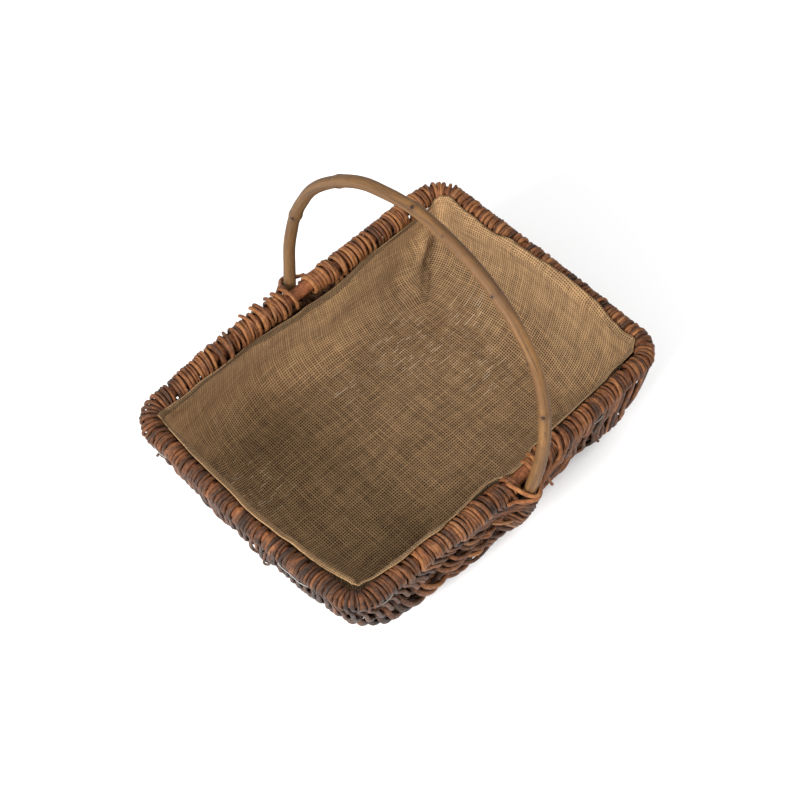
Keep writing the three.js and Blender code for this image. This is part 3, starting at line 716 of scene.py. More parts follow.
def row_share(deg, j, far=False):
    """Share of the way from its own ear at which row j crosses each arc."""
    fl, fr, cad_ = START["left"] / LEFT["len"], START["right"] / RIGHT["len"], START["keel"] / KEEL_LEN
    f0 = np.interp(deg, [0, 40, 90, 118, 140, 160, 180], [fl, lerp(fl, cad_, 0.6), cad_, lerp(fr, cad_, 0.62), lerp(fr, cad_, 0.2), fr, fr])
    x = j / ROWS
    own = f0 + (0.5 - f0) * lerp(x, packed(x), np.exp(-((deg - 90) / 50) ** 2))
    w = 1 - own if far else own
    lens = np.interp(deg, ARC_DEG, ARC_LEN)
    # on the left the strands slant from the rim down towards the near ear, and
    # turn steeper below
    z = -on_grid(GRID, deg, np.clip(w, 0.002, 0.998))[..., 2]
    short = smooth((w - 0.12) / 0.32)
    slant = 1.05 * np.clip(z - 7, 0, 13) + 0.32 * np.clip(z - 20, 0, 40)
    drift = lerp(slant, -0.27 * np.clip(z - 7, 0, 50), short)
    drift = drift * smooth(w / 0.10) * (1 - smooth((w - 0.66) / 0.2)) * (1 - smooth((deg - 56) / 40))
    # on the right they hang straight down from the rim
    phi = np.radians(180 - np.clip(deg, 130, 180))
    gain = np.interp(180 - deg, [0, 8, 20, 32, 50, 75, 90], [0, 0, 0.6, 1, 1, 0.5, 0]) * (deg > 90)
    fall = ARC_LEN[-1] / lens / np.cos(np.minimum(phi, 0.56)) - 1
    near_w = np.where(w < 0.5, w, 1 - w)
    push = gain * fall * np.minimum(near_w, 0.2) * (1 - smooth((near_w - 0.2) / 0.3))
    w = w - drift / lens + np.where(w < 0.5, push, -push)
    return 1 - w if far else w


def rib_index(deg):
    a = deg if deg <= 90 else 180 - deg
    return RIB_ANGLES.index(a) if a in RIB_ANGLES else None


def under_leg(z):
    """Inset of a strand that passes behind the handle's leg."""
    return SKIN_OUT - TAPER_LONG * (-z / RIM_Z) - (table(LEG_OFFSET, z) - HOOP_R - 1.9)


def row_depths(j, row, far):
    """Inset of the strand's centre at each knot: over or under each rib."""
    out = []
    odd = (row + (1 if far else 0)) % 2
    spare = row < 42 and row % 7 == 3
    turn = (row - (row + 3) // 7) % 2 if row < 42 else odd
    swap = np.random.default_rng(5000 + row * 2 + (1 if far else 0)).random(len(KNOTS)) < 0.09
    behind = False
    for k, deg in enumerate(KNOTS):
        i = rib_index(deg)
        share = float(row_share(np.array([float(deg)]), j)[0])
        reach = share * ARC_LEN[int(round(deg / 180 * (len(ARC_LEN) - 1)))]
        if i is None:
            if deg == 90:
                z = float(on_grid(GRID, np.array([90.0]), np.array([share]))[0, 2])
                behind = row % 3 == 1 and z > -58
                out.append(float(under_leg(z)) if behind else 2.2)
            else:
                out.append(2.45)
            continue
        over = (i + turn) % 2 == 0 and not (spare and i < 2)
        if deg > 90:
            # to the right most strands lie outside the first rib
            over = (row * 5 + (2 if far else 0)) % 11 not in (1, 6, 9) if i == 0 else (i + odd) % 2 == 1
        over = bool(over) != bool(swap[k])
        there = float(smooth((reach - (RIB_STARTS[i] - 16)) / 16))
        out.append(lerp(2.8, E_OUT[i] if over else E_IN[i], there))
    return np.array(out), behind


def depth_at(deg, depths):
    """Smooth over-and-under between the knots."""
    k = np.array(KNOTS, float)
    i = np.clip(np.searchsorted(k, deg, side="right") - 1, 0, len(k) - 2)
    f = (deg - k[i]) / (k[i + 1] - k[i])
    first = (i == 1) | (i == len(k) - 3)
    f = np.where(first, np.clip(np.where(i == 1, f / 0.72, (f - 0.28) / 0.72), 0, 1), f)
    return lerp(depths[i], depths[i + 1], smooth(f))


def wrap_path(half, s0, sgn, lean, rho, a_end, turns_in=232, phase=0.0):
    """Over the rim rod at station s0: from inside below, over, to outside."""
    a = np.radians(np.arange(turns_in, a_end - 0.1, -6.0))
    s = s0 + sgn * lean * (np.degrees(a) / 90) + phase
    p, n = along(half, np.clip(s, 0.5, half["len"] - 0.5))
    up = np.array([0, 0, 1.0])
    r = n * np.cos(a)[:, None] + up * np.sin(a)[:, None]
    rho = np.broadcast_to(np.asarray(rho, float), a.shape)
    rho = rho + 1.6 * smooth((p[:, 1] - 120) / 25) * smooth((np.degrees(a) - 130) / 70)
    return np.concatenate([p + r * rho[:, None], r], 1)


# Where each strand crosses the rim: every row of both ears, and the few wraps
# beside the ears that fill the rim up without going down into the weave.
cross = {"left": [], "right": []}
ROW = {}
for far in (False, True):
    for j in range(ROWS):
        r = np.random.default_rng(1000 + j * 2 + (1 if far else 0))
        jj = j + float(np.clip(r.normal(0, 0.17), -0.4, 0.4))
        ends = row_share(np.array([0.5, 179.5]), jj, far)
        sL = LEFT["len"] * (1 - ends[0] if far else ends[0])
        sR = RIGHT["len"] * (1 - ends[1] if far else ends[1])
        ROW[far, j] = (r, jj, sL, sR)
        cross["left"].append(sL)
        cross["right"].append(sR)
FILL = []
for k, s0 in enumerate((13.2, 17.2, 21.3, 25.5, 29.8)):
    FILL.append(("right", s0, False))
    FILL.append(("right", RIGHT["len"] - s0, True))
    cross["right"] += [s0, RIGHT["len"] - s0]
for key in cross:
    cross[key] = np.sort(np.array(cross[key]))


def room(key, s):
    """Half the width a strand has on the rim, from its neighbours' places."""
    c = cross[key]
    i = int(np.argmin(np.abs(c - s)))
    lo = c[i] - c[i - 1] if i > 0 else 4.4
    hi = c[i + 1] - c[i] if i < len(c) - 1 else 4.4
    return float(np.clip(0.5 * (min(lo, 7) + min(hi, 7)) / 2, 1.6, 2.9))


def weaver(j, far):
    """The path of one strand with its outward direction, (n, 6)."""
    r, jj, sL, sR = ROW[far, j]
    deg = np.linspace(0.5, 179.5, 717)
    w = row_share(deg, jj, far)
    # a little sideways wander along the row
    w = w + wander(r, deg, 18, 0.0014)
    depths, behind = row_depths(jj, j, far)
    e = depth_at(deg, depths) + wander(r, deg, 12, 0.25)
    share = 1 - w if far else w
    p = on_grid(GRID, deg, share)
    n = unit(on_grid(NORMALS, deg, share))
    p = p + n * (E_MID - e)[:, None]
    if not behind:
        p[:, 1] += leg_bulge(p) * smooth((13 - e) / 6)
    low = p[:, 2] < -7.0
    idx = np.nonzero(low)[0]
    p, n = p[idx[0]:idx[-1] + 1], n[idx[0]:idx[-1] + 1]
    sgn = -1.0 if far else 1.0
    ends = []
    for half, s0 in ((LEFT, sL), (RIGHT, sR)):
        cross_over = r.random() < 0.15
        lean = 0.9 + r.normal(0, 0.8) + (r.choice([-1, 1]) * 2.4 if cross_over else 0)
        rho = 8.65 + r.uniform(-0.2, 0.65) + (0.7 if cross_over else 0)
        here, _ = along(half, np.array([s0]))
        if here[0, 0] < -165 and here[0, 1] < -95:
            lean, rho = 0.5 + 0.3 * lean / 2.4, min(rho, 9.1)
        near_ear = here[0, 1] < 0 and -95 < here[0, 0] < -12
        rho += 1.3 * math.exp(-((here[0, 0] + 48) / 30) ** 2) if near_ear else 0
        far_ear = here[0, 1] > 0 and -125 < here[0, 0] < -8
        if far_ear:
            rho += r.uniform(0.0, 2.4)
            lean += r.normal(0.8, 1.0)
        elif here[0, 1] > 120 and here[0, 0] < 175:
            rho += 1.0
        ends.append(wrap_path(half, s0, sgn, lean, rho, -14, phase=r.normal(0, 0.3)))
    other = on_grid(GRID, deg, np.clip(row_share(deg, jj + 0.5, far), 0.001, 0.999))
    under = on_grid(GRID, deg, np.clip(row_share(deg, jj - 0.5, far), 0.001, 0.999))
    apart = ironed(np.linalg.norm(other - under, axis=1), 12)[idx[0]:idx[-1] + 1]
    return ends[0], np.concatenate([p, n], 1), ends[1][::-1], apart


def tones_of(r, s, mk):
    """Bark colour of a strand: most are mid brown, some orange, some dark grey."""
    tone = float(np.clip(r.normal(0.52, 0.115), 0.34, 0.9))
    if r.random() < 0.14:
        tone = float(r.uniform(0.68, 0.9))
    tint = float(r.random())
    return np.clip(tone + 0.04 * mk + wander(r, s, 30, 0.08) + wander(r, s, 9, 0.05), 0, 1), np.full(len(s), tint)


def by_place(p):
    """The bark is darker and greyer along the short left side, redder behind and on the near long side. The top of the
    far side is also made lighter, painted light, and the near long wall darker, most low down, painted shade.
    """
    left = smooth((-p[:, 0] - 120) / 60) * (1 - 0.3 * smooth((p[:, 1] - 110) / 30))
    back = smooth((p[:, 1] - 90) / 40) * smooth((p[:, 2] + 30) / 25) * (1 - 0.7 * smooth((-p[:, 0] - 110) / 60))
    front = smooth((-p[:, 1] - 110) / 30) * smooth((p[:, 0] + 60) / 60)
    lower = front * (1 - smooth((p[:, 2] + 30) / 25))
    return -0.19 * left + 0.18 * back - 0.02 * front - 0.05 * lower, -0.30 * left - 0.16 * back - 0.2 * front


def strand_mesh(bag, aL, mid, aR, r, roomL, roomR, apart):
    cols = np.concatenate([aL, mid, aR])
    mark = np.concatenate([np.full(len(aL), -1.0), np.zeros(len(mid)), np.ones(len(aR))])
    wide = np.concatenate([np.full(len(aL), apart[0]), apart, np.full(len(aR), apart[-1])])
    cols = np.concatenate([cols, mark[:, None], wide[:, None]], 1)
    cols = resample(cols, 1.3)
    cols = ironed(cols, 5)
    dens = lerp(1 / 4.2, 1 / 2.4, np.clip(np.abs(cols[:, 6]) * 1.2, 0, 1))
    cols = resample(cols, 1.0, dens)
    p, n, mk = cols[:, :3], unit(cols[:, 3:6]), cols[:, 6]
    s = arc_length(p)
    base = r.uniform(1.72, 2.2)
    # strands taper: a butt and a tip
    taper = np.linspace(1, r.uniform(0.82, 1.0), len(s)) if r.random() < 0.5 else np.linspace(r.uniform(0.82, 1.0), 1, len(s))
    wide = 1 + 0.3 * smooth((-cols[:, 0] - 100) / 50) * smooth((-cols[:, 1] - 30) / 50) * smooth((-cols[:, 2] - 34) / 22)
    wide *= 1 + 0.32 * smooth((cols[:, 0] - 135) / 35) * smooth((-cols[:, 1] - 85) / 40) * smooth((-cols[:, 2] - 8) / 12)
    spread = np.clip(cols[:, 7] * 0.545 / 1.95 * wide, 0.74, 1.55 * wide)
    body = base * taper * (1 + wander(r, s, 16, 0.05)) * spread
    for _ in range(r.integers(2, 6)):
        # the nodes where leaves grew
        body = body * (1 + r.uniform(0.08, 0.22) * np.exp(-((s - r.uniform(0, s[-1])) / r.uniform(1.2, 2.4)) ** 2))
    on_rim = smooth(np.abs(mk))
    rim_w = np.where(mk < 0, roomL, roomR) * r.uniform(0.92, 1.10) * (1 + wander(r, s, 7, 0.06)) * body / (base * spread)
    behind = smooth((p[:, 1] - 70) / 50)
    hw = lerp(body * (1 + 0.20 * behind * smooth((p[:, 2] + 60) / 20)), rim_w * (1 - 0.09 * behind), on_rim)
    ht = lerp(body * 0.92, 1.95 * (1 + wander(r, s, 8, 0.05)), on_rim)
    tones, tint = tones_of(r, s, on_rim)
    d_tone, d_tint = by_place(p)
    calm = 0.35 * smooth((-p[:, 0] - 120) / 60)                           # fewer bright strands there
    tones, tint = np.clip(lerp(tones, 0.5, calm) + d_tone, 0, 1), np.clip(tint + d_tint, 0, 1)
    tube(bag, p, n, hw, ht, 12, tones, tint, u0=r.uniform(0, 900), square=lerp(0.96, 0.90, on_rim))


groups = []
per = 21
for far in (False, True):
    for g0 in range(0, ROWS, per):
        bag = Bag()
        for j in range(g0, min(ROWS, g0 + per)):
            aL, mid, aR, apart = weaver(j, far)
            r, _, sL, sR = ROW[far, j]
            strand_mesh(bag, aL, mid, aR, r, room("left", sL), room("right", sR), apart)
        groups.append(bag.build(f"weave_{'far' if far else 'near'}_{g0 // per + 1}", M_WEAVE))
for ob in groups:
    keep(ob, "weave", "woven_body")

# wraps of the rim alone, one group for each quarter of the rim
quarter = {"near_left": Bag(), "far_left": Bag(), "near_right": Bag(), "far_right": Bag()}


def lone_wrap(bag, half, s0, sgn, r, w, rho=8.75, lean=1.0, start=262, end=-70, ht=1.7, tone=None):
    a = wrap_path(half, s0, sgn, lean, rho, end, turns_in=start)
    a = resample(a, 2.2)
    s = arc_length(a[:, :3])
    tones, tint = tones_of(r, s, np.ones(len(s)))
    if tone is not None:
        tones, tint = tones * 0 + tone + wander(r, s, 12, 0.05), tint * 0 + 0.2
    tube(bag, a[:, :3], unit(a[:, 3:6]), w * (1 + wander(r, s, 9, 0.05)), ht, 12, tones, tint, u0=r.uniform(0, 900), square=0.8)


for k, (key, s0, far) in enumerate(FILL):
    r = np.random.default_rng(3000 + k)
    half = LEFT if key == "left" else RIGHT
    lone_wrap(quarter[("far_" if far else "near_") + key], half, s0, -1 if far else 1, r, room(key, s0) * 1.03, tone=float(r.uniform(0.6, 0.95)))
for k, (back_by, lean) in enumerate(((5.2, 1.2), (9.8, 1.8))):
    r = np.random.default_rng(3050 + k)
    lone_wrap(quarter["near_left"], LEFT, START["left"] - back_by, 1, r, 2.25, rho=8.9, lean=lean, tone=float(r.uniform(0.55, 0.75)))
# a few short strands bound round over the others, as where a new one begins
r = np.random.default_rng(3100)
for key, half in (("left", LEFT), ("right", RIGHT)):
    for k in range(13):
        s0 = float(r.uniform(30, half["len"] - 30))
        far = s0 > half["len"] / 2
        lone_wrap(quarter[("far_" if far else "near_") + key], half, s0, 1 if r.random() < 0.5 else -1, r, float(r.uniform(1.5, 2.3)),
                  rho=9.0 + float(r.uniform(0.3, 0.7)), lean=float(r.uniform(1.0, 3.0)), ht=1.1)


def beside(x, off, z, sgn):
    """A place by a long side: along it, out from the rod's middle, and height."""
    half = RIM_A - RIM_CORNER_R
    tt = 2 + (half - x) / (2 * half) if sgn > 0 else 6 + (x + half) / (2 * half)
    q, _ = rim_at(np.array([tt]))
    return np.array([q[0, 0], q[0, 1] + sgn * off, z])


def loose(bag, pts, r, w, ref, tone, tint=0.2, ht=0.85):
    p = spline(pts, 1.4)
    s = arc_length(p)
    ww = w * (1 + wander(r, s, 10, 0.06))
    tube(bag, p, ref, ww, ww * ht, 10, np.clip(tone + wander(r, s, 12, 0.06), 0, 1), tint, u0=r.uniform(0, 900))


# runners: from over the rod beside the near leg slantwise down to behind it
for k, (x, xe, ze, w) in enumerate(((25, 10, -6, 2.1), (34, 9, -10, 2.3), (44, 9, -14, 2.0), (58, 9, -19, 2.2), (66, 12, -25, 1.9))):
    r = np.random.default_rng(3200 + k)
    rows = [(x + 6, -9.8, -7), (x + 5, -10.2, 2), (x + 3, -5.5, 9.6), (x + 1, 1.5, 11.2), (x - 2, 8.0, 8.4), (x - 6, 12.2, 2.0),
            (lerp(x - 6, xe, 0.35), 13.4, lerp(-1, ze, 0.4)), (lerp(x - 6, xe, 0.7), 13.0, lerp(-1, ze, 0.75)), (xe, 9.0, ze)]
    loose(quarter["near_right"], [beside(a, b, c, -1) for a, b, c in rows], r, w, [0, -1.0, 0.6], float(r.uniform(0.62, 0.88)))
# the far wraps left of the ear are wound loosely, their ends stand out
for k, (x, w) in enumerate(((-9, 2.3), (-19, 2.2), (-28, 2.1), (-41, 2.4), (-46, 2.1), (-60, 1.9))):
    r = np.random.default_rng(3300 + k)
    tip = 12.3 + float(r.uniform(-0.7, 0.7))
    rows = [(x + 2.5, -10.4, -6), (x + 2, -10.6, 2), (x + 1.2, -5.0, 9.8), (x, 3.0, 11.6), (x - 0.8, 9.5, 10.2), (x - 1.5, tip, 8.6)]
    loose(quarter["far_left"], [beside(a, b, c, 1) for a, b, c in rows], r, w, [0, 0.5, 1.0], float(r.uniform(0.5, 0.8)))
# short strands that pack the wall beside the ears
for k, (x, sgn, key) in enumerate([(x, 1, "far_right") for x in np.arange(13, 92, 4.1)] + [(x, 1, "far_left") for x in np.arange(-13, -110, -4.3)]):
    r = np.random.default_rng(3500 + k)
    dx = float(r.uniform(-1.5, 1.5))
    rows = [(x, 7.5, 2.5), (x + 0.2 * dx, 5.6, -7), (x + 0.5 * dx, 4.2, -18), (x + 0.8 * dx, 2.6, -30), (x + dx, 0.6, -40)]
    pts = [beside(a, b, c, sgn) for a, b, c in rows]
    loose(quarter[key], pts, r, float(r.uniform(1.9, 2.25)), [0, sgn * 1.0, 0], float(r.uniform(0.25, 0.6)), float(r.random()) * 0.8)
# cut ends and loops that stand out of the wall
r = np.random.default_rng(3400)
loose(quarter["near_right"], [(41, -160, -26), (42.5, -163, -36), (43.7, -165.4, -42.5), (44.7, -167.8, -46)], r, 1.6, [0, -1.0, 0.3], 0.8)
loose(quarter["near_right"], [(103, -160, -14), (105, -163, -24), (107, -166, -32), (108.5, -169, -37)], r, 1.5, [0, -1.0, 0.3], 0.4)
loose(quarter["near_left"], [(-34, -162, -32), (-26, -166, -37), (-17, -168.5, -42), (-9, -168.5, -47)], r, 1.4, [0, -1.0, 0.3], 0.98, 0.9)
loose(quarter["near_left"], [(-208, -40, -4), (-215.0, -38.5, -18), (-216.5, -36.0, -36), (-216.5, -36.8, -39.5), (-216.5, -40.5, -36),
                             (-216.5, -45.0, -28), (-214.5, -48.5, -12), (-208, -50, 0)], r, 1.3, [-1.0, 0, 0.3], 0.35)
loose(quarter["far_left"], [(-208, 113, -4), (-212, 115, -12), (-215, 118, -20), (-216.5, 120, -25)], r, 1.4, [-1.0, 0, 0.3], 0.4)
for word, bag in quarter.items():
    keep(bag.build(f"rim_wraps_{word}", M_WRAP), "wrap", f"rim_wrap_{word}")

# ---------------------------------------------------------- rim, handle and ribs
r = np.random.default_rng(71)
t = np.linspace(0, 8, 900, endpoint=False)
p, n = rim_at(t)
p = resample(np.vstack([p, p[:1]]), 4.0)[:-1]
s = arc_length(p)
k = 1 + 0.02 * np.sin(s / 61.0) + wander(r, s, 21, 0.018)
bag = Bag()
tube(bag, p, [0, 0, 1.0], RIM_ROD_R * k, RIM_ROD_R * k, 20, 0.62 + wander(r, s, 30, 0.06), 0.1, closed=True)
keep(bag.build("rim_rod_bark", M_RIM), "rim_rod", "rim_rod")


def hoop_points():
    pts = [[HANDLE_X + HANDLE_TILT * z, y + HANDLE_Y, z] for y, z in HANDLE_ARCH]
    e_keel = 4.2 + 1.5 + HOOP_R

    def down(sgn):
        leg = []
        tt = T_FAR if sgn > 0 else T_NEAR
        wall = RIM_B + float(bow(np.array([tt]))[0])
        for z in (-12, -24, -38, -52):
            leg.append([float(leg_x(z)), sgn * (wall + float(table(LEG_OFFSET, z))), z])
        rr = BASE_ROUND - e_keel
        for d in (22, 42, 62, 80):
            a = math.radians(d)
            z = -(RIM_Z - BASE_ROUND) - rr * math.sin(a)
            off = SKIN_OUT - TAPER_LONG * (-z / RIM_Z) - BASE_ROUND + rr * math.cos(a)
            leg.append([float(leg_x(z)), sgn * (RIM_B + off), z])
        return leg
    zk = -(RIM_Z - e_keel)
    keel = [[float(leg_x(zk)), y, zk] for y in (70, 35, 0, -35, -70)]
    return pts + down(1) + keel + down(-1)[::-1]


r = np.random.default_rng(72)
p = spline(hoop_points(), 2.6, closed=True)[:-1]
s = arc_length(p)
total = s[-1]


def bump_at(s, c, w):
    d = np.abs((s - c + total / 2) % total - total / 2)
    return np.exp(-(d / w) ** 2)


# knots and the slight joggles that go with them, by place along the hoop
def nearest(y, z):
    q = np.array([HANDLE_X + HANDLE_TILT * z, y + HANDLE_Y, z])
    return s[np.argmin(np.linalg.norm(p - q, axis=1))]


KNOT_AT = [(-165.8, 106.3), (20.7, 218.7), (114.8, 181.8), (168.4, 98.6), (-86.7, 196.2), (-140.0, 157.0)]
rad = HOOP_R * (1 + wander(r, s, 34, 0.02))
dark = np.zeros(len(s))
side = np.zeros((len(s), 3))
for q, (y, z) in enumerate(KNOT_AT):
    c = nearest(y, z)
    rad = rad * (1 + (0.09, 0.08, 0.12, 0.13, 0.05, 0.05)[q] * bump_at(s, c, 4.2) - 0.03 * bump_at(s, c + 12, 8.0))
    side += bump_at(s, c, 8.0)[:, None] * r.normal(0, 0.45, 3)
    dark += 0.10 * bump_at(s, c, 3.0)
p2 = p + side
tan2 = unit(np.roll(p2, -1, 0) - np.roll(p2, 1, 0))
for y, z, way, size in ((-165.8, 106.3, (-0.5, -0.2, 0.8), 1.9), (20.7, 218.7, (-0.45, -0.4, 0.78), 2.1), (114.8, 181.8, (-0.55, -0.8, 0.1), 2.0),
                        (168.4, 98.6, (-0.6, -0.4, 0.7), 1.9), (-86.7, 196.2, (-0.9, -0.1, 0.5), 1.3), (-20.0, 215.6, (-0.7, 0.1, 0.7), 0.6),
                        (-140.0, 157.0, (-0.9, 0.3, 0.1), 1.4)):
    i = int(np.argmin(np.linalg.norm(p2 - np.array([HANDLE_X + HANDLE_TILT * z, y + HANDLE_Y, z]), axis=1)))
    way = np.array(way) - tan2[i] * float(np.dot(way, tan2[i]))
    SCARS.append((*((p2[i] + unit(way) * rad[i] + CENTRE) * 0.001), size * 0.001))
M_HANDLE = peeled("peeled_rod")
grey = np.clip(0.15 + 0.75 * smooth((p[:, 1] + 20) / 130) - 0.1, 0, 1)
# below the rim it keeps its bark
dark = np.maximum(dark, 0.82 * smooth((-p[:, 2] - 1) / 9))
bag = Bag()
lob = 1 + 0.02 * np.sin(2 * np.pi * np.arange(24) / 24 * 3 + 0.6)
tube(bag, p2, [1.0, 0, 0], rad, rad, 24, grey, np.clip(dark, 0, 1), closed=True, lobes=lob[None, :, None])
keep(bag.build("handle_rod", M_HANDLE), "handle", "handle_hoop")

for side_word, sgn in (("left", 0), ("right", 1)):
    for i, (ang, start) in enumerate(zip(RIB_ANGLES, RIB_STARTS)):
        r = np.random.default_rng(300 + 10 * sgn + i)
        deg = float(ang if sgn == 0 else 180 - ang)
        total_len = float(np.interp(deg, ARC_DEG, ARC_LEN))
        a = (start - 12) / total_len
        sh = np.linspace(a, 1 - a, int(total_len / 4))
        p = on_grid(GRID, np.full(len(sh), deg), sh)
        n = unit(on_grid(NORMALS, np.full(len(sh), deg), sh))
        s = arc_length(p)
        k = smooth(np.minimum(s, s[-1] - s) / 26 + 0.30)
        rad = 2.7 * (0.35 + 0.65 * k) * (1 + wander(r, s, 25, 0.03))
        bag = Bag()
        tube(bag, p, n, rad, rad, 12, r.uniform(0.25, 0.5), 0.3, u0=r.uniform(0, 500))
        keep(bag.build(f"rib_{side_word}_{i + 1}_rod", M_RIB), "rib", f"rib_{side_word}_{i + 1}")

# ---------------------------------------------------------------------- lashings
LASH_ROWS = {
    "upper": [[-16, 0.5, 9.4], [-13.5, 8.5, 8.6], [-9.5, 17.6, 4.4], [-4, 24.0, 0.2], [1, 25.7, -1.6], [6, 24.2, -2.0],
              [11.5, 19.0, -1.6], [18, 13.6, -1.6], [26, 9.0, -2.6]],
    "lower": [[-27, 13.6, -1.5], [-19, 15.0, -3.6], [-11, 20.2, -5.4], [-4, 25.0, -6.0], [1, 26.2, -6.2], [6, 24.6, -6.0],
              [12.5, 20.0, -5.6], [21, 16.0, -4.6]],
}
for word, sgn in (("near", -1), ("far", 1)):
    for key, rows in LASH_ROWS.items():
        pts = []
        for dx, off, z in rows:
            x = HANDLE_X + dx
            half = RIM_A - RIM_CORNER_R
            tt = 2 + (half - x) / (2 * half) if sgn > 0 else 6 + (x + half) / (2 * half)
            q, _ = rim_at(np.array([tt]))
            pts.append([q[0, 0], q[0, 1] + sgn * off, z])
        p = spline(pts, 1.6)
        r = np.random.default_rng(900 + (7 if sgn > 0 else 0) + len(key) + (3 if key == "lower" else 0))
        bag = Bag()
        s = arc_length(p)
        w = 2.1 * (1 + wander(r, s, 12, 0.05))
        tube(bag, p, [0, sgn * 1.0, 0.35], w, w * 0.8, 12, 0.8 if key == "upper" else 0.7, 0.2)
        keep(bag.build(f"{word}_{key}_strand", M_LASH), "lashing", f"{word}_lashing_{key}")

# ------------------------------------------------------------------ binding wire
SHOWS = {"left": [(-209, -66), (-205, -88), (-172, -152), (-209, 112), (-60, 154)], "right": [(112, -154), (209, 60), (100, 154)]}
for word, half, cut in (("left", LEFT, 42), ("right", RIGHT, 42)):
    ss = np.arange(cut, half["len"] - cut, 4.0)
    q, n = along(half, ss)
    r = np.random.default_rng(40 + len(word))
    # it lies under the wraps and comes out at a few places
    show = np.zeros(len(ss))
    for px, py in SHOWS[word]:
        d = np.hypot(q[:, 0] - px, q[:, 1] - py)
        show = np.maximum(show, np.exp(-(d / 13.0) ** 4))
    out = lerp(5.4, 10.0, show) + wander(r, ss, 23, 0.3)
    zz = lerp(-6.6, -8.6, show) + wander(r, ss, 31, 0.3)
    p = q + n * out[:, None]
    p[:, 2] += zz
    p = ironed(p, 2)
    bag = Bag()
    tube(bag, p, [0, 0, 1.0], 0.36, 0.36, 8, 0.5, 0.5)
    keep(bag.build(f"binding_wire_{word}_strand", M_WIRE), "wire", f"binding_wire_{word}")

# ------------------------------------------------------------------------ lining
E_CLOTH = 19.2
FLOOR_Z = -(RIM_Z - E_CLOTH)
CR = BASE_ROUND - E_CLOTH
NT = 560
dens_t = np.linspace(0, 8, 4001)
pc, _ = rim_at(dens_t, -12)
cs = arc_length(pc)
TT = np.interp(np.linspace(0, cs[-1], NT, endpoint=False), cs, dens_t)
# the hem: how far in from the rim centreline, and its height, by station
HEM = np.array([
    [0, 8.0, 8.6], [0.05, 9.2, 7.0], [0.1, 7.8, 8.7], [0.2, 4.0, 11.0], [0.35, 2.8, 11.4], [0.45, 3.6, 11.1],
    [0.55, 6.2, 9.9], [0.65, 6.8, 9.5], [0.75, 10.2, 5.7], [0.9, 10.0, 6.0], [1.0, 9.1, 7.4], [1.25, 10.3, 5.5],
    [1.5, 10.6, 4.9], [1.75, 11.4, 2.6], [1.95, 11.7, 0.4], [2.06, 10.0, -8.0], [2.18, 10.6, -5.0], [2.26, 9.0, -11.5],
    [2.34, 8.6, -19.0], [2.41, 8.6, -21.5], [2.5, 8.6, -18.5], [2.62, 8.6, -15.0], [2.7, 9.4, -9.5], [2.77, 11.3, -3.0],
    [2.9, 11.6, 1.4], [3.0, 11.1, 3.6], [3.25, 10.7, 4.8], [3.5, 9.1, 7.4], [3.65, 7.2, 9.2], [3.8, 9.7, 6.5],
    [3.9, 11.0, 5.0], [4.0, 11.2, 5.0], [4.06, 9.1, 7.4], [4.2, 6.2, 9.9], [4.4, 6.4, 9.8], [4.55, 4.9, 10.6],
    [4.68, 6.0, 10.0], [4.76, 9.0, 7.5], [4.82, 11.0, 5.0], [4.9, 12.4, 5.0], [5.0, 14.6, 5.0], [5.25, 14.6, 5.0],
    [5.5, 13.9, 5.0], [5.75, 15.0, 5.0], [5.9, 15.2, 5.0], [6.0, 13.6, 5.5], [6.06, 8.6, 8.0], [6.12, 6.4, 9.7],
    [6.18, 7.2, 9.2], [6.25, 6.2, 9.6], [6.3, 10.2, 5.5], [6.35, 11.9, 5.0], [6.4, 14.0, 5.0], [6.44, 14.7, 5.0],
    [6.465, 12.6, 5.0], [6.49, 8.0, 5.0], [6.52, 5.3, 5.0], [6.54, 4.9, 5.0], [6.57, 6.6, 5.0], [6.6, 9.0, 5.2],
    [6.66, 10.3, 5.2], [6.76, 10.0, 5.6], [6.82, 10.4, 5.2], [6.88, 11.4, 5.0], [6.95, 13.0, 5.0], [7.1, 13.4, 5.0],
    [7.3, 12.8, 5.0], [7.5, 11.8, 4.4], [7.62, 11.5, 3.0], [7.7, 11.0, 4.2], [7.8, 10.2, 5.8], [7.9, 8.3, 8.2],
    [7.95, 7.4, 9.1], [8, 8.0, 8.6]])
HEM_D, HEM_H = HEM[:, [0, 1]], HEM[:, [0, 2]]


def by_station(tab, t):
    i = np.clip(np.searchsorted(tab[:, 0], t, side="right") - 1, 0, len(tab) - 2)
    f = smooth((t - tab[i, 0]) / (tab[i + 1, 0] - tab[i, 0]))
    return lerp(tab[i, 1], tab[i + 1, 1], f)


hem_d, hem_h = by_station(HEM_D, TT), by_station(HEM_H, TT)
RR = np.random.default_rng(55)


def ring_wander(count, amp):
    """Smooth random values round the rim, closed on itself."""
    v = RR.normal(0, amp, count)
    x = np.arange(NT) / NT * count
    i = x.astype(int)
    f = smooth(x - i)
    return v[i % count] * (1 - f) + v[(i + 1) % count] * f


hem_d = hem_d + ring_wander(90, 0.30)
hem_h = hem_h + ring_wander(70, 0.45)


def wall_point(z, e=E_CLOTH):
    """The cloth on the wall at height z (one for each station)."""
    z = np.broadcast_to(z, (NT,))
    d = np.clip(-z / RIM_Z, 0, 1)
    rr = lerp(RIM_CORNER_R + SKIN_OUT, BASE_CORNER_R, d) - e * np.maximum(0.2, 1 - d * 0.6)
    q, n = outline(TT, RIM_A + profile(TAPER_RIGHT, e, z), RIM_A + profile(TAPER_LEFT, e, z),
                   RIM_B + profile(TAPER_LONG, e, z), rr)
    w = bow(TT) * lerp(1, 0.85, d) + belly(TT, z)
    # at the near right corner the cloth runs straight across to the floor
    w = w - np.exp(-((TT - 7.22) / 0.42) ** 2) * (4 + 11 * np.clip(-z / 60, 0, 1))
    q = q + n * w[:, None]
    return np.concatenate([q, z[:, None]], 1), np.concatenate([n, np.zeros((NT, 1))], 1)


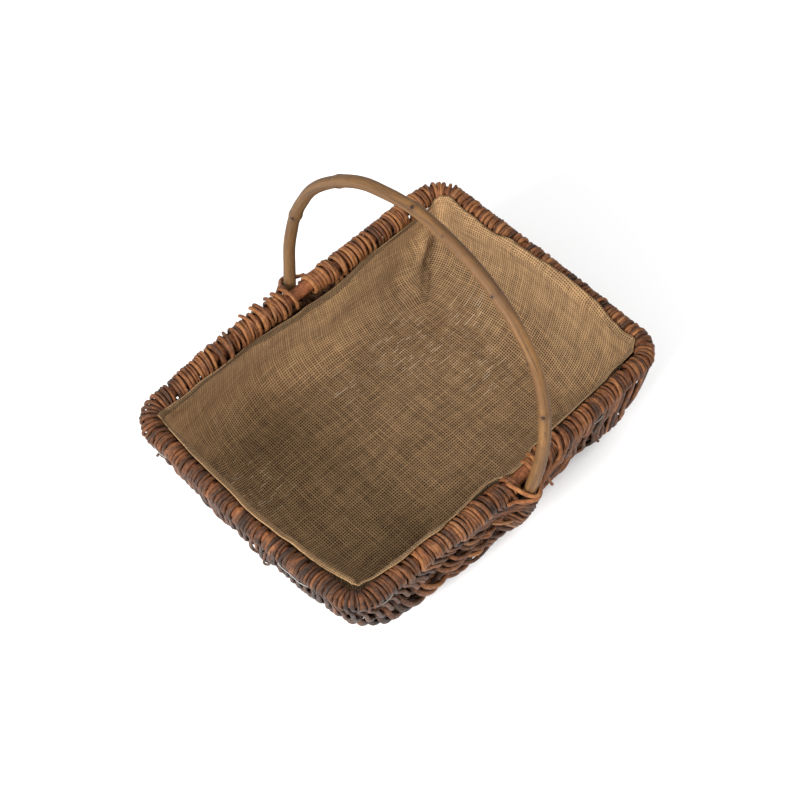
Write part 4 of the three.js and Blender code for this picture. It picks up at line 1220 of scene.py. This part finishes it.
rc, rn = rim_at(TT)
UP = np.array([0, 0, 1.0])
rows = []
E0 = rc - rn * hem_d[:, None] + UP * hem_h[:, None]
up_w = smooth((hem_h + 8) / 12)                       # 1 where the hem lies on the rim
zw = np.minimum(hem_h - 30, -26)
W0, _ = wall_point(zw)
W1, _ = wall_point(zw + 12)
flat_w = smooth((TT - 4.05) / 0.3) * (1 - smooth((TT - 5.4) / 0.5))
K1 = rc - rn * np.maximum(hem_d + 4.5 + 8.0 * flat_w, 12.4)[:, None] + UP * (hem_h - 1.0 - 1.5 * flat_w)[:, None]
K2 = W1 - rn * (1.8 * up_w)[:, None]
K1 = lerp(lerp(E0, W0, 0.34), K1, up_w[:, None])
K2 = lerp(lerp(E0, W0, 0.67), K2, up_w[:, None])
for q in np.linspace(0, 1, 15)[:-1]:
    rows.append(E0 * (1 - q) ** 3 + 3 * K1 * (1 - q) ** 2 * q + 3 * K2 * (1 - q) * q * q + W0 * q ** 3)
z_arc = -(RIM_Z - BASE_ROUND)
for q in np.linspace(0, 1, 9)[:-1]:
    rows.append(wall_point(lerp(zw, z_arc, q))[0])
for a in np.radians(np.linspace(0, 90, 15)):
    rows.append(wall_point(z_arc - CR * math.sin(a))[0])
edge_row = len(rows) - 1
last = rows[-1].copy()
for q in np.linspace(0, 1, 34)[1:]:
    qq = 1 - q * 0.985
    rows.append(np.concatenate([last[:, :2] * qq, last[:, 2:]], 1))
S = np.array(rows)                                    # rows x stations x 3
# the cloth lies on the wrapped rim, and on the bare rod at the near ear
bare = np.interp(TT, [6.46, 6.495, 6.565, 6.6], [0, 1, 1, 0])
least = (lerp(12.5, 8.0, bare) + 1.4 * smooth((TT - 1.9) / 0.2) * (1 - smooth((TT - 2.9) / 0.2)))[None]
sd_ = ((rc[None] - S) * rn[None]).sum(-1)
sh_ = S[..., 2]
far_off = np.hypot(sd_, sh_)
grow = np.where((sh_ > -13) & (far_off < least), least / np.maximum(far_off, 1), 1.0)
S = S - rn[None] * (sd_ * (grow - 1))[..., None] + UP * (sh_ * (grow - 1))[..., None]
NR = len(S)

# the cloth's own flat measures: across the floor, and up each wall
ring_s = np.linalg.norm(np.roll(S, -1, 1) - S, axis=-1)
cum = np.concatenate([np.zeros((NR, 1)), np.cumsum(ring_s, 1)], 1)     # NT + 1 values
per_row = cum[:, -1]
down = np.zeros((NR, NT))
down[1:] = np.cumsum(np.linalg.norm(np.diff(S, axis=0), axis=-1), 0)
height = down[edge_row][None] - down                                    # up from the floor's edge


def waves(S):
    """Slack in the cloth: soft folds, the creased corners, and small unevenness."""
    dn = np.gradient(S, axis=0)
    dt = np.roll(S, -1, 1) - np.roll(S, 1, 1)
    nn = unit(np.cross(dt, dn))
    centre = np.array([0, 0, 40.0])
    nn = nn * np.sign((nn * (centre - S)).sum(-1, keepdims=True))       # into the basket
    x, y, z = S[..., 0], S[..., 1], S[..., 2]
    lump = np.zeros(S.shape[:2])
    for kx, ky, kz, ph, am in ((0.031, 0.022, 0.05, 0.3, 0.8), (-0.047, 0.036, 0.07, 2.1, 0.6), (0.019, -0.055, 0.04, 4.0, 0.7),
                               (0.083, 0.041, 0.09, 1.2, 0.3), (-0.066, 0.090, 0.05, 5.2, 0.3), (0.12, -0.10, 0.11, 0.9, 0.25),
                               (0.17, 0.13, 0.16, 2.9, 0.15)):
        lump += am * np.sin(x * kx + y * ky + z * kz + ph)
    lump = np.where(lump > 0, 1.3 * lump, 0.12 * lump)
    # at the far right corner the slack lies in a standing fold with a sharp crease
    # beside it, and at the far left one it is pinched at the floor
    run = cum[:, :-1] / cum[:, -1:]
    size = cum[:, -1:]

    def from_corner(t0):
        k = run[:, int(np.argmin(np.abs(TT - t0)))][:, None]
        return ((run - k + 0.5) % 1.0 - 0.5) * size

    c = from_corner(1.5) + 1.2 * np.sin(z * 0.11)
    tall = smooth((-z - 26) / 30) * (1 - smooth((-z - 95) / 7))
    flank = np.where(c < 9.5, np.exp(-((c - 9.5) / 4.0) ** 2), np.exp(-((c - 9.5) / 22) ** 2))
    lump += tall * 12.0 * flank
    lump -= 2.4 * np.exp(-((c - 0.4) / 2.0) ** 2) * (1 - smooth((-z - 97) / 5)) * smooth((-z - 6) / 12)
    c = from_corner(3.8) + 0.8 * np.sin(z * 0.2)
    low = np.exp(-((z + 92) / 9) ** 2) * np.where(np.arange(len(S))[:, None] <= edge_row, 1.0, 0)
    lump += low * (4.2 * np.exp(-((c - 6) / 4.5) ** 2) - 1.2 * np.exp(-(c / 1.8) ** 2))
    hold = smooth(down / 22)                                            # the hem is held
    lump = lump * hold
    return S + nn * lump[..., None], nn


S, inward = waves(S)
bag = Bag()
for layer in (0.5, -0.5):
    pass
top = S + inward * 0.5
under = S - inward * 0.5
V = np.concatenate([top.reshape(-1, 3), under.reshape(-1, 3), [top[-1].mean(0)], [under[-1].mean(0)]])
off = NR * NT
ii, jj = np.meshgrid(np.arange(NR - 1), np.arange(NT), indexing="ij")
jn = (jj + 1) % NT
q_top = np.stack([ii * NT + jj, ii * NT + jn, (ii + 1) * NT + jn, (ii + 1) * NT + jj], -1).reshape(-1, 4)


def cloth_uv():
    """Flat measures at the four corners of every face, by the wall it is on."""
    k = np.floor(TT).astype(int)
    f = TT - k
    side = np.where(k % 2 == 0, k, np.where(f < 0.5, k - 1, (k + 1) % 8))
    fs = side[jj]                                                       # per face
    uv = np.zeros((*ii.shape, 4, 2))
    mids = {0: 0.5, 2: 2.5, 4: 4.5, 6: 6.5}
    run = np.zeros((4, NR, NT))
    plane = np.zeros(4)
    for q, t0 in enumerate(mids.values()):
        k0 = int(np.argmin(np.abs(TT - t0)))
        r0 = cum[:, :-1] - cum[:, k0:k0 + 1]
        r0 = (r0 + per_row[:, None] / 2) % per_row[:, None] - per_row[:, None] / 2
        run[q] = r0 * (1, -1, -1, 1)[q] + S[:, k0:k0 + 1, 1 if q % 2 == 0 else 0]
        plane[q] = abs(last[k0, 0 if q % 2 == 0 else 1])
    for c, (di, dj) in enumerate(((0, 0), (0, 1), (1, 1), (1, 0))):
        a, b = ii + di, (jj + dj) % NT
        up = np.maximum(height[a, b], 0)
        x, y = S[a, b, 0], S[a, b, 1]
        flat = a >= edge_row
        f = np.where(flat, 0, smooth(up / 80))
        here = run[(fs // 2) % 4, a, b]
        pl = plane[(fs // 2) % 4]
        long_ = (fs == 2) | (fs == 6)
        u = np.where(long_ | flat, lerp(x, here, f), np.sign(x) * (lerp(np.abs(last[b, 0]), pl, f) + up))
        v = np.where(~long_ | flat, lerp(y, here, f), np.sign(y) * (lerp(np.abs(last[b, 1]), pl, f) + up))
        uv[..., c, 0], uv[..., c, 1] = u, v
    return uv


uv = cloth_uv().reshape(-1, 2)
cen_top, cen_un = 2 * off, 2 * off + 1
jf = np.arange(NT)
fan_top = np.stack([(NR - 1) * NT + jf, (NR - 1) * NT + (jf + 1) % NT, np.full(NT, cen_top)], -1)
fan_un = np.stack([off + (NR - 1) * NT + (jf + 1) % NT, off + (NR - 1) * NT + jf, np.full(NT, cen_un)], -1)
uvf = V[fan_top][..., :2].reshape(-1, 2)
edge = np.stack([jf, off + jf, off + (jf + 1) % NT, (jf + 1) % NT], -1)
quad_uv = uv.reshape(-1, 4, 2)
edge_uv = np.stack([quad_uv[:NT, 0], quad_uv[:NT, 0], quad_uv[:NT, 1], quad_uv[:NT, 1]], 1).reshape(-1, 2)
# Painted light and shade on the lining: by station the cloth is made lighter from the hem down, most in the two far
# corners, and darker further down towards the floor. It goes in as the cloth's tone.
painted_light_shade = np.interp(TT, [0, 0.5, 1.2, 1.5, 2.0, 2.5, 3.0, 3.3, 4.0, 4.3, 4.7, 6.0, 7.0, 7.6, 8],
                 [0.55, 0.45, 0.95, 1.5, 1.35, 1.10, 2.5, 2.3, 1.2, 0.8, 0.25, 0.1, 0.1, 0.45, 0.55])
reach = np.interp(TT, [1.5, 2.0, 2.75, 3.5, 4.1], [75, 100, 150, 150, 75])[None]
painted_light_shade = painted_light_shade[None] * (1 - smooth((down - 8) / reach)) - 0.4 * smooth((down - 60) / 50)
painted_light_shade_pts = np.concatenate([painted_light_shade.ravel(), painted_light_shade.ravel(), [0, 0]])
bag.add(V, [(q_top, uv, True), (q_top[:, ::-1] + off, quad_uv[:, ::-1].reshape(-1, 2), True),
            (fan_top, uvf, True), (fan_un, uvf, True), (edge[:, ::-1], edge_uv, True)], painted_light_shade_pts, 0.5)
cloth = bag.build("lining_cloth", M_CLOTH)
keep(cloth, "lining", "liner")

# the turned hem: a doubled strip along the edge, a little proud of the cloth
HEM_W = 8.6
path_in = inward
strip = []
sd = np.linspace(0, HEM_W, 7)
cols = []
for j in range(NT):
    c = np.stack([np.interp(sd, down[:, j], S[:, j, k]) for k in range(3)], -1)
    m = unit(np.stack([np.interp(sd, down[:, j], inward[:, j, k]) for k in range(3)], -1))
    cols.append((c, m))
C = np.array([c for c, _ in cols])
Mn = np.array([m for _, m in cols])
away = unit(C[:, 0] - C[:, 1])                        # from the hem's inside to its fold
lift = np.array([0.95, 1.1, 1.15, 1.1, 1.05, 1.1, 0.75])
seen = 1 - 1.0 * np.interp(np.mod(TT + 2, 8), [0, 1.9, 2.3, 3.6, 4.2, 8], [0, 0, 1, 1, 0, 0])
lift = 0.15 + (lift[None] - 0.15) * seen[:, None]
face = C + Mn * lift[:, :, None]
fold = (C[:, 0] + away * 1.0 + Mn[:, 0] * 0.55)[:, None]
fold2 = (C[:, 0] + away * 0.9 - Mn[:, 0] * 0.35)[:, None]
back = C[:, ::-1] - Mn[:, ::-1] * (0.2 + 0.42 * seen)[:, None, None]
sec = np.concatenate([fold, face, back, fold2], 1)    # NT x m x 3, closed section
m = sec.shape[1]
i, j = np.meshgrid(np.arange(NT), np.arange(m), indexing="ij")
faces = np.stack([i * m + j, i * m + (j + 1) % m, ((i + 1) % NT) * m + (j + 1) % m, ((i + 1) % NT) * m + j], -1).reshape(-1, 4)
ssum = np.concatenate([[0], np.cumsum(np.linalg.norm(np.roll(C[:, 0], -1, 0) - C[:, 0], axis=1))])
wid = np.concatenate([[-1.2], sd, sd[::-1], [-1.4]])
wn = np.concatenate([wid[1:], wid[:1]])
uvh = np.stack([np.stack([ssum[i], wid[j]], -1), np.stack([ssum[i], wn[j]], -1),
                np.stack([ssum[i + 1], wn[j]], -1), np.stack([ssum[i + 1], wid[j]], -1)], 2).reshape(-1, 2)
bag = Bag()
bag.add(sec.reshape(-1, 3), [(faces, uvh, True)], np.repeat(0.10 + 0.42 * np.interp(TT, [0, 3.6, 4.3, 4.7, 5.4, 6.0, 8], [0, 0, 1, 2, 2, 0.6, 0]), m), 0.5)
hem = keep(bag.build("lining_hem", M_HEM), "lining")

# stitches that hold the hem, a long running stitch
bag = Bag()
r = np.random.default_rng(77)
pos = 0.0
hc, hm = C[:, 5], Mn[:, 5]
hs = np.concatenate([[0], np.cumsum(np.linalg.norm(np.roll(hc, -1, 0) - hc, axis=1))])
hc2, hm2 = np.vstack([hc, hc[:1]]), np.vstack([hm, hm[:1]])
while pos < hs[-1] - 6:
    L = r.uniform(3.6, 4.6)
    ss = np.linspace(pos, pos + L, 6)
    c = np.stack([np.interp(ss, hs, hc2[:, k]) for k in range(3)], -1)
    mm = unit(np.stack([np.interp(ss, hs, hm2[:, k]) for k in range(3)], -1))
    rise = np.interp(ss, hs[:-1], lift[:, 5])
    c = c + mm * (rise + 0.32 * np.sin(np.linspace(0, np.pi, 6)))[:, None]
    tube(bag, c, mm, 0.40, 0.30, 6, 0.5, 0.5)
    pos += L + r.uniform(1.0, 1.7)
stitch = keep(bag.build("hem_stitches", M_HEM), "lining")

# ------------------------------------------------------------------------ camera
E, A, ROLL = 1.0001126924200532, -0.738846418672335, -0.03651527164821207
DIST, FOCAL = 4.269700468310611 * 412.0, math.exp(7.4904051610232205)
TARGET = np.array([-0.03586517868815728, -0.03059443264806201, 0.0]) * 412.0
back_v = np.array([math.sin(A) * math.cos(E), -math.cos(A) * math.cos(E), math.sin(E)])
fwd = -back_v
right = unit(np.cross(fwd, [0, 0, 1.0]))
upv = np.cross(right, fwd)
r2 = math.cos(ROLL) * right + math.sin(ROLL) * upv
u2 = -math.sin(ROLL) * right + math.cos(ROLL) * upv
pos = (TARGET + back_v * DIST + np.array([2.0, -0.6, 0]) + CENTRE) * 0.001
cam_data = bpy.data.cameras.new("camera")
cam_data.sensor_width = 36.0
cam_data.lens = FOCAL / 800 * 36.0
cam_data.clip_start, cam_data.clip_end = 0.05, 30
cam = bpy.data.objects.new("camera", cam_data)
bpy.context.scene.collection.objects.link(cam)
cam.matrix_world = Matrix([[r2[0], u2[0], back_v[0], pos[0]], [r2[1], u2[1], back_v[1], pos[1]],
                           [r2[2], u2[2], back_v[2], pos[2]], [0, 0, 0, 1]])
bpy.context.scene.camera = cam

# ------------------------------------------------------------------ floor, light
me = bpy.data.meshes.new("floor")
me.from_pydata([(-6, -6, 0), (6, -6, 0), (6, 6, 0), (-6, 6, 0)], [], [(0, 1, 2, 3)])
floor = bpy.data.objects.new("floor", me)
bpy.context.scene.collection.objects.link(floor)
mf = Nodes("pale_floor")
nf = mf.noise(mf.coords(), 3, 2, 0.5)
me.materials.append(mf.finish(mf.mix(nf, (0.93, 0.93, 0.93), (0.95, 0.95, 0.95)), 0.9, None, 0.1))

world = bpy.data.worlds.new("soft_white")
bpy.context.scene.world = world
world.use_nodes = True
world.node_tree.nodes["Background"].inputs[0].default_value = (1, 1, 1, 1)
world.node_tree.nodes["Background"].inputs[1].default_value = 0.76


def area_light(name, at, to, size, power, color=(1, 1, 1)):
    d = bpy.data.lights.new(name, "AREA")
    d.shape = "RECTANGLE"
    d.size, d.size_y = size
    d.energy = power
    d.color = color
    ob = bpy.data.objects.new(name, d)
    bpy.context.scene.collection.objects.link(ob)
    ob.location = at
    ob.rotation_mode = "QUATERNION"
    ob.rotation_quaternion = (Vector(to) - Vector(at)).to_track_quat("-Z", "Y")
    return ob


area_light("key", (-1.95, -0.2, 1.15), (0, 0, 0.1), (1.2, 0.8), 84)
area_light("fill", (0.1, -1.2, 2.3), (0, 0, 0.1), (1.6, 1.2), 30)
bpy.context.scene.view_settings.view_transform = "Standard"
